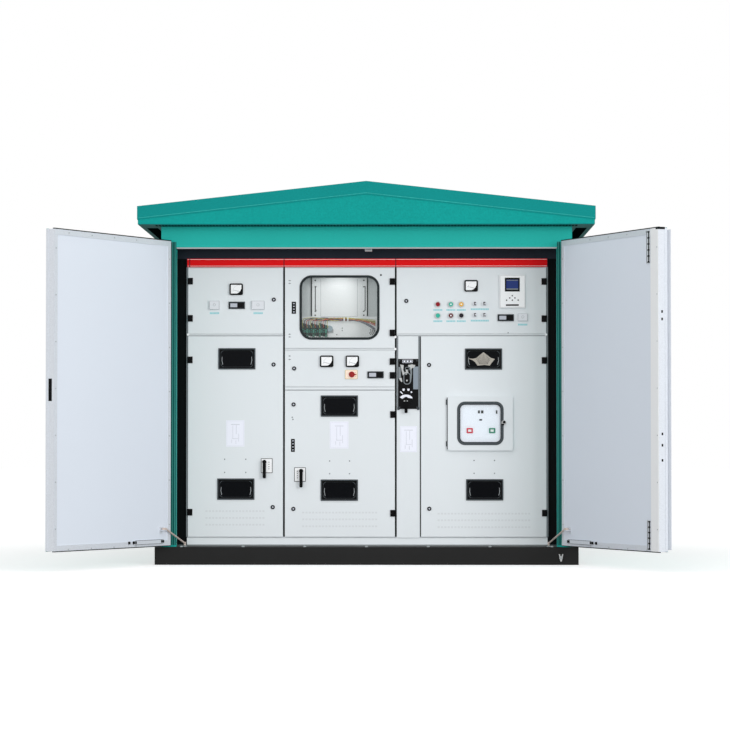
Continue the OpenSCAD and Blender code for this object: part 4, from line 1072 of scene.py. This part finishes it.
def leaf_details(word, place, body, right):
    def item(name, mat):
        return Batch(word + "_" + name, body, mat, place)

    gasket = item("leaf_gasket", RUBBER_AND_GAP_SHADE)
    w, h = LEAF_W, LEAF_H
    for a, b in (((8, LEAF_T - 12, -3), (w - 3, LEAF_T + 1.2, 1.5)),
                 ((8, LEAF_T - 12, h - 2), (w - 3, LEAF_T + 1.2, h + 3.5)),
                 ((5, 28, 8), (12.5, 36, h - 8))):
        gasket.box(a, b)
    gasket.done(2.0)
    screws = item("leaf_screws", ZINC)
    for x in (27, w - 17):
        for z in range(120, int(h) - 60, 250):
            screws.rod([(x, LEAF_T - 0.2, z), (x, LEAF_T + 1.8, z)], 4, 8)
    for z in (8, h - 17):
        for x in range(360, int(w) - 60, 215):
            screws.rod([(x, LEAF_T - 0.2, z), (x, LEAF_T + 1.8, z)], 4, 8)
    screws.done()
    channel = item("stay_channel", ALUMINIUM)
    channel.box((84, LEAF_T, 14), (384, LEAF_T + 5, 38))
    channel.done(1.0)
    nose = item("leaf_nose", ALUMINIUM)
    nose.box((w - 1.8, -2.4, 3), (w + 0.9, 12, h - 3))
    nose.done(0.5)
    dark = item("leaf_black", FITTING)
    dark.box((98, LEAF_T + 5, 36), (374, LEAF_T + 6, 38))
    dark.box((98, LEAF_T + 5, 14), (374, LEAF_T + 6, 15.5))
    for x in (88, 104, 362, 380, 424):
        dark.box((x, LEAF_T, 19), (x + 12, LEAF_T + 7.5, 34))
    if right:
        plates = item("flush_bolt_plates", ALUMINIUM)
        for z0, z1 in ((4, 170), (h - 190, h - 8)):
            plates.box((w - 132, LEAF_T, z0), (w - 94, LEAF_T + 1, z1))
            dark.box((w - 110.5, LEAF_T + 1, z0 + 6), (w - 101.5, LEAF_T + 3, z1 - 6))
            dark.box((w - 130, LEAF_T + 1, z0 + 4), (w - 127, LEAF_T + 2, z1 - 4))
            for k in range(6):
                z = z0 + 10 + k * (z1 - z0 - 20) / 5
                dark.box((w - 118, LEAF_T + 1, z - 4), (w - 97, LEAF_T + 3.3, z + 4))
        plates.done(0.8)
        band = item("lock_edge_band", PLAIN_WHITE)
        band.box((w - 88, LEAF_T - 0.5, 2), (w - 4, LEAF_T + 1.5, h - 2))
        band.done(0.8)
        dark.box((w - 30, 12, h - 10), (w + 1.0, LEAF_T + 1.6, h + 2))
        for z in (1230, 1270, 480, 560, 620):
            dark.box((w - 2.2, 24, z), (w - 1.6, 34, z + 14))
    else:
        dark.box((w - 2.2, 14, h / 2 - 60), (w - 1.4, 36, h / 2 + 60))
    dark.done(0.6)
    # The outer trim takes the darker copy of the teal paint: painted shade.
    outer = item("leaf_outer_trim", SHADED_TEAL)
    for a, b in (((60, -2.5, 60), (w - 60, 0, 74)), ((60, -2.5, h - 74), (w - 60, 0, h - 60)),
                 ((60, -2.5, 60), (74, 0, h - 60)), ((w - 74, -2.5, 60), (w - 60, 0, h - 60))):
        outer.box(a, b)
    outer.done(1.2)


leaf_details("left", LEFT, "left_leaf", False)
leaf_details("right", RIGHT, "right_leaf", True)
lock = Batch("left_leaf_outer_handle", "left_leaf", FITTING, LEFT)
lock.box((LEAF_W - 90, -6, LEAF_H / 2 - 80), (LEAF_W - 50, 0, LEAF_H / 2 + 80))
lock.rod([(LEAF_W - 70, -24, LEAF_H / 2 + 50), (LEAF_W - 70, -6, LEAF_H / 2 + 50)], 9, 12)
lock.box((LEAF_W - 80, -32, LEAF_H / 2 - 60), (LEAF_W - 60, -22, LEAF_H / 2 + 62))
lock.done(1.5)

# Stage, lights and camera.

bpy.ops.mesh.primitive_plane_add(size=120, location=(0, 0, 0))
ground = bpy.context.object
ground.name = "ground"
floor_coat = bpy.data.materials.new("stage floor")
floor_coat.use_nodes = True
t = floor_coat.node_tree
t.nodes.clear()
diffuse = t.nodes.new("ShaderNodeBsdfDiffuse")
diffuse.inputs["Color"].default_value = (0.97, 0.97, 0.97, 1)
glow = t.nodes.new("ShaderNodeEmission")
glow.inputs["Color"].default_value = (1, 1, 1, 1)
glow.inputs["Strength"].default_value = 0.35
seen = t.nodes.new("ShaderNodeAddShader")
t.links.new(diffuse.outputs[0], seen.inputs[0])
t.links.new(glow.outputs[0], seen.inputs[1])
dim = t.nodes.new("ShaderNodeBsdfDiffuse")
dim.inputs["Color"].default_value = (0.34, 0.34, 0.34, 1)
ray = t.nodes.new("ShaderNodeLightPath")
both = t.nodes.new("ShaderNodeMixShader")
out = t.nodes.new("ShaderNodeOutputMaterial")
t.links.new(ray.outputs["Is Camera Ray"], both.inputs[0])
t.links.new(dim.outputs[0], both.inputs[1])
t.links.new(seen.outputs[0], both.inputs[2])
t.links.new(both.outputs[0], out.inputs["Surface"])
ground.data.materials.append(floor_coat)

world = bpy.data.worlds.new("studio")
bpy.context.scene.world = world
world.use_nodes = True
world_nodes, world_links = world.node_tree.nodes, world.node_tree.links
world_nodes["Background"].inputs["Color"].default_value = (1, 1, 1, 1)
ray = world_nodes.new("ShaderNodeLightPath")
level = world_nodes.new("ShaderNodeMapRange")
level.inputs["To Min"].default_value = 0.74
level.inputs["To Max"].default_value = 1.0
world_links.new(ray.outputs["Is Camera Ray"], level.inputs["Value"])
world_links.new(level.outputs["Result"], world_nodes["Background"].inputs["Strength"])


def area(name, place, target, size, power):
    light = bpy.data.lights.new(name, "AREA")
    light.shape, light.size, light.energy = "DISK", size, power
    o = bpy.data.objects.new(name, light)
    bpy.context.scene.collection.objects.link(o)
    o.location = place
    o.rotation_mode = "QUATERNION"
    o.rotation_quaternion = (Vector(target) - Vector(place)).to_track_quat("-Z", "Y")
    o.visible_glossy = False


area("key", (7.0, -12.5, 2.6), (0, -1.3, 1.0), 4, 500)
area("fill", (-1.5, -16, 1.5), (0, -1.3, 1.0), 5, 820)
area("window lamp", (wx / 1000, (CY + 60) / 1000, (wz + 170) / 1000),
     (wx / 1000, (CY + 168) / 1000, (wz - 60) / 1000), 0.2, 0.12)

lens_data = bpy.data.cameras.new("camera")
lens_data.sensor_width = 36.0
lens_data.lens = 2932.7 / 730 * 36.0
lens_data.clip_start, lens_data.clip_end = 0.5, 200
camera_object = bpy.data.objects.new("camera", lens_data)
bpy.context.scene.collection.objects.link(camera_object)
camera_object.location = (0.192, -18.2168, 0.6819)
camera_object.rotation_euler = (math.radians(91.55), 0, math.radians(0.69))
bpy.context.scene.camera = camera_object
bpy.context.scene.view_settings.view_transform = "Standard"
